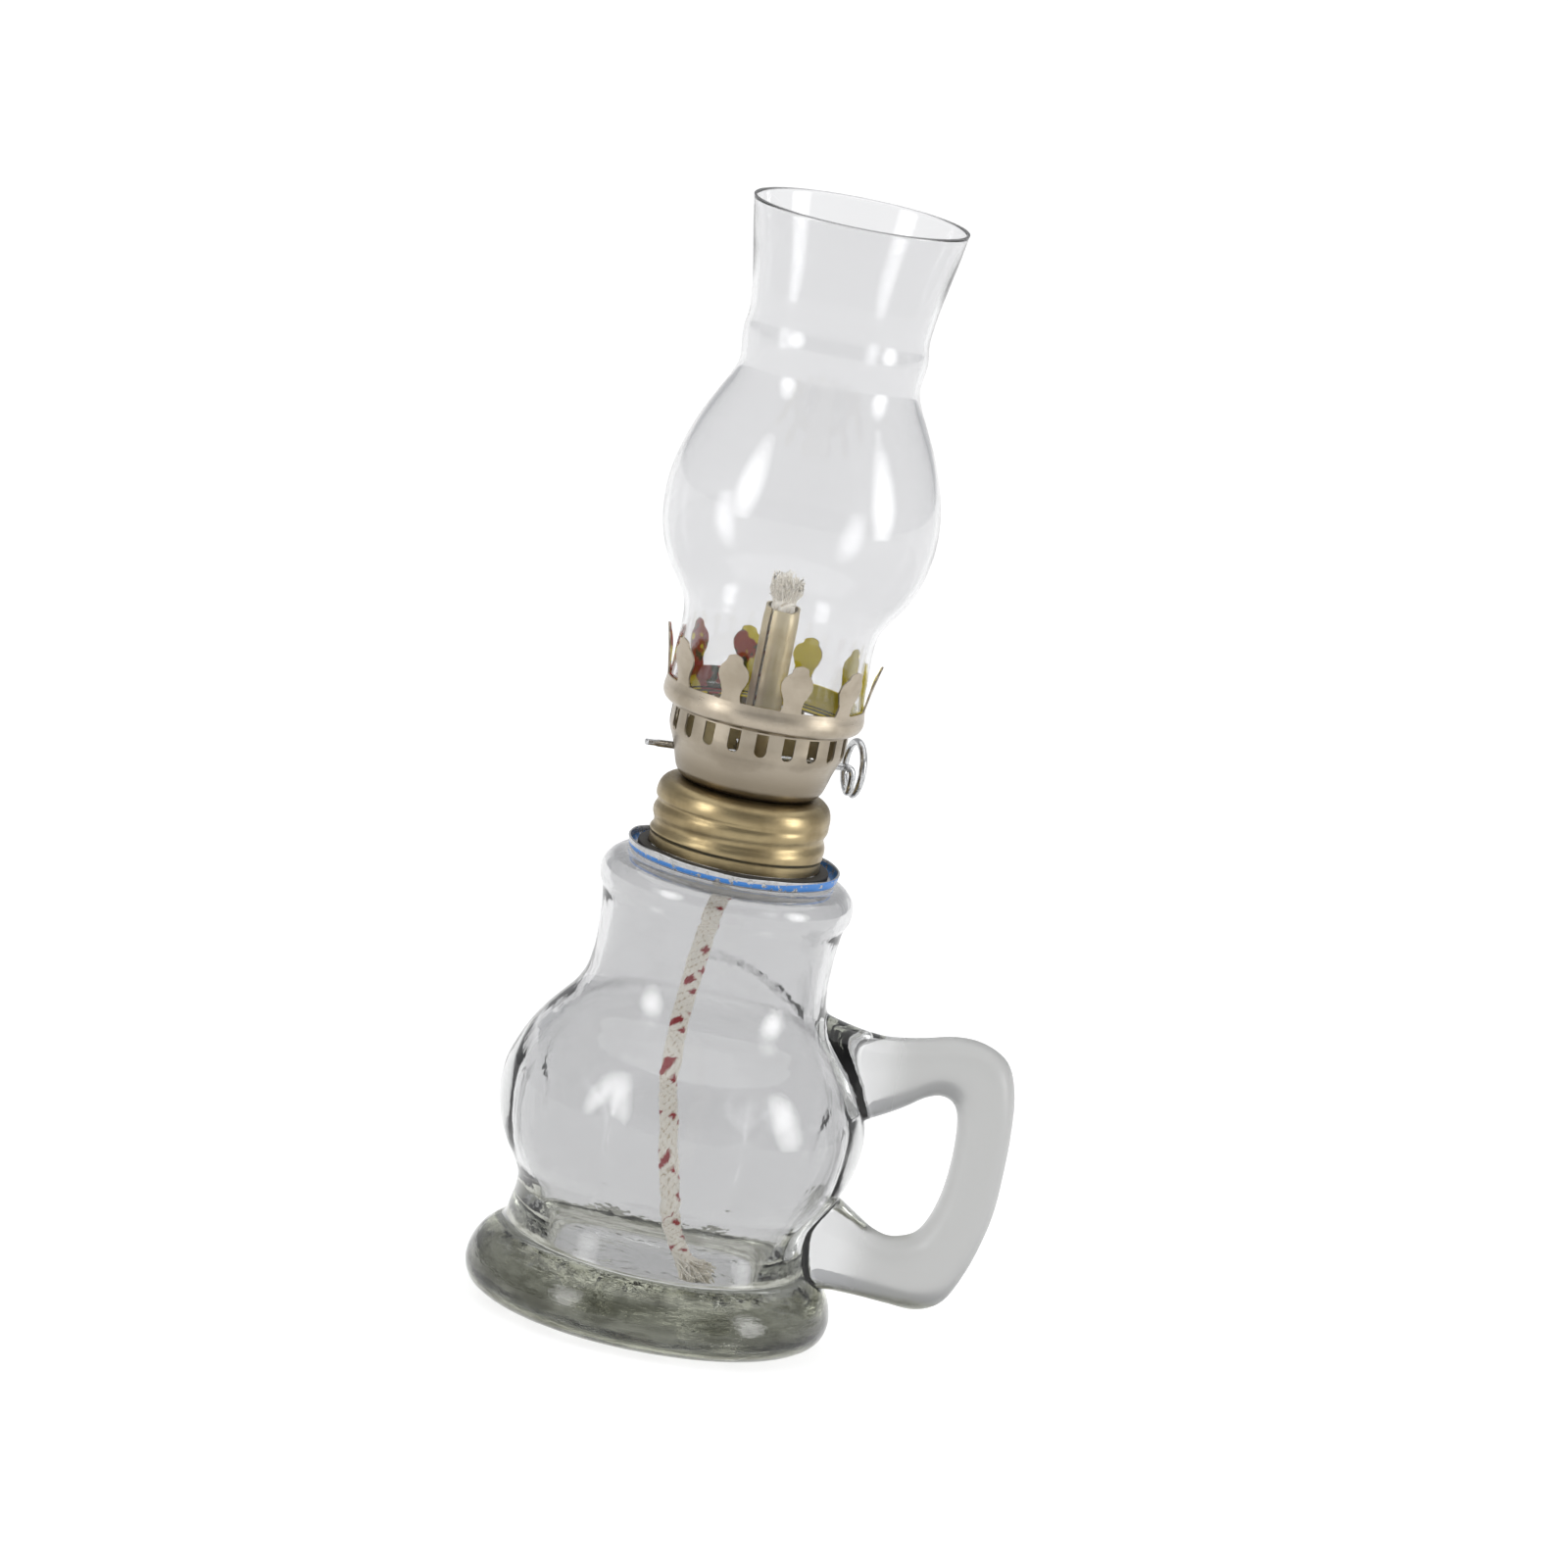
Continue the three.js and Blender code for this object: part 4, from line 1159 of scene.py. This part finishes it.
def make_spindle(material):
    """One bright wire: flat at its plain end, and bent down and round into a finger ring at the other."""
    wire, ring, end = 0.68, 5.0, 21.8
    left = -19
    route = [(left + 0.6 * k, 0, 0) for k in range(int((end - 1.6 - left) / 0.6))]
    route += [(end - 1.3, 0, -0.04), (end - 0.5, 0, -0.35), (end - 0.08, 0, -1.2), (end, 0, -2.2)]
    route += [(end, 0, -3), (end, 0.12, -3.9), (end, 0.75, -4.75)]
    stop = TURN - 2.2 * wire / ring
    route += [(end, ring * math.sin(a), -ring * math.cos(a)) for a in np.linspace(0.32, stop, 40)]
    path = curve(route, 0.3)

    def radius(share, angle):
        taper = float(rounded(share, 1.0, 0.992))
        flat = float(rounded(share, 0.035, 0.02))
        wide = 1 + 0.3 * flat * np.abs(np.cos(angle)) - 0.35 * flat * np.abs(np.sin(angle))
        return wire * (0.75 + 0.25 * taper) * wide

    points, faces = sweep(path, radius, 20)
    across = Vector((-SPINDLE_ALONG.y, SPINDLE_ALONG.x, 0))
    turn = Matrix((SPINDLE_ALONG, across, Vector((0, 0, 1)))).transposed()
    points = [tuple(turn @ Vector(point) + SPINDLE_POINT) for point in points]
    replace(build("spindle_wire", points, faces, material), "knob", "steel_wire", "knob_spindle")


# ---- everything, in order ----


def make_lamp():
    loose = cotton("loose_cotton", False)
    woven = cotton("woven_cotton", True)
    make_wick_tail(woven, loose)
    crown_metal = satin_metal("crown_satin", (0.43, 0.375, 0.3), (0.33, 0.285, 0.22), 0.34)
    # The cup's colour is painted darker low down, as painted shade.
    cup_metal = satin_metal("cup_satin", (0.36, 0.315, 0.25), (0.23, 0.195, 0.145), 0.36, CAP_HIGH + 5)
    # Inner faces of the cup and the tube plate: a duller finish, and a darker colour that is painted shade of
    # the burner's hollow inside.
    dull_shaded_metal = satin_metal("dull_shaded_satin", (0.3, 0.25, 0.15), (0.2, 0.16, 0.08), 0.5)
    steel = wire_steel()
    make_wick(woven, loose)
    make_font(font_glass())
    make_chimney(chimney_glass())
    make_drip_ring(tinplate())
    make_gasket(rubber())
    make_cap(satin_metal("cap_satin", (0.34, 0.27, 0.15), (0.24, 0.185, 0.098), 0.36))
    make_cup(cup_metal, dull_shaded_metal)
    make_crown(crown_metal, lacquered_metal())
    make_plate(dull_shaded_metal)
    make_tube(satin_metal("tube_satin", (0.63, 0.55, 0.37), (0.46, 0.37, 0.22), 0.4))
    make_spindle(steel)
    for side in ("left", "right"):
        paint(frame["nodes"][f"wick_wheel_{side}"], steel)


make_camera()
make_lamp()
make_studio()
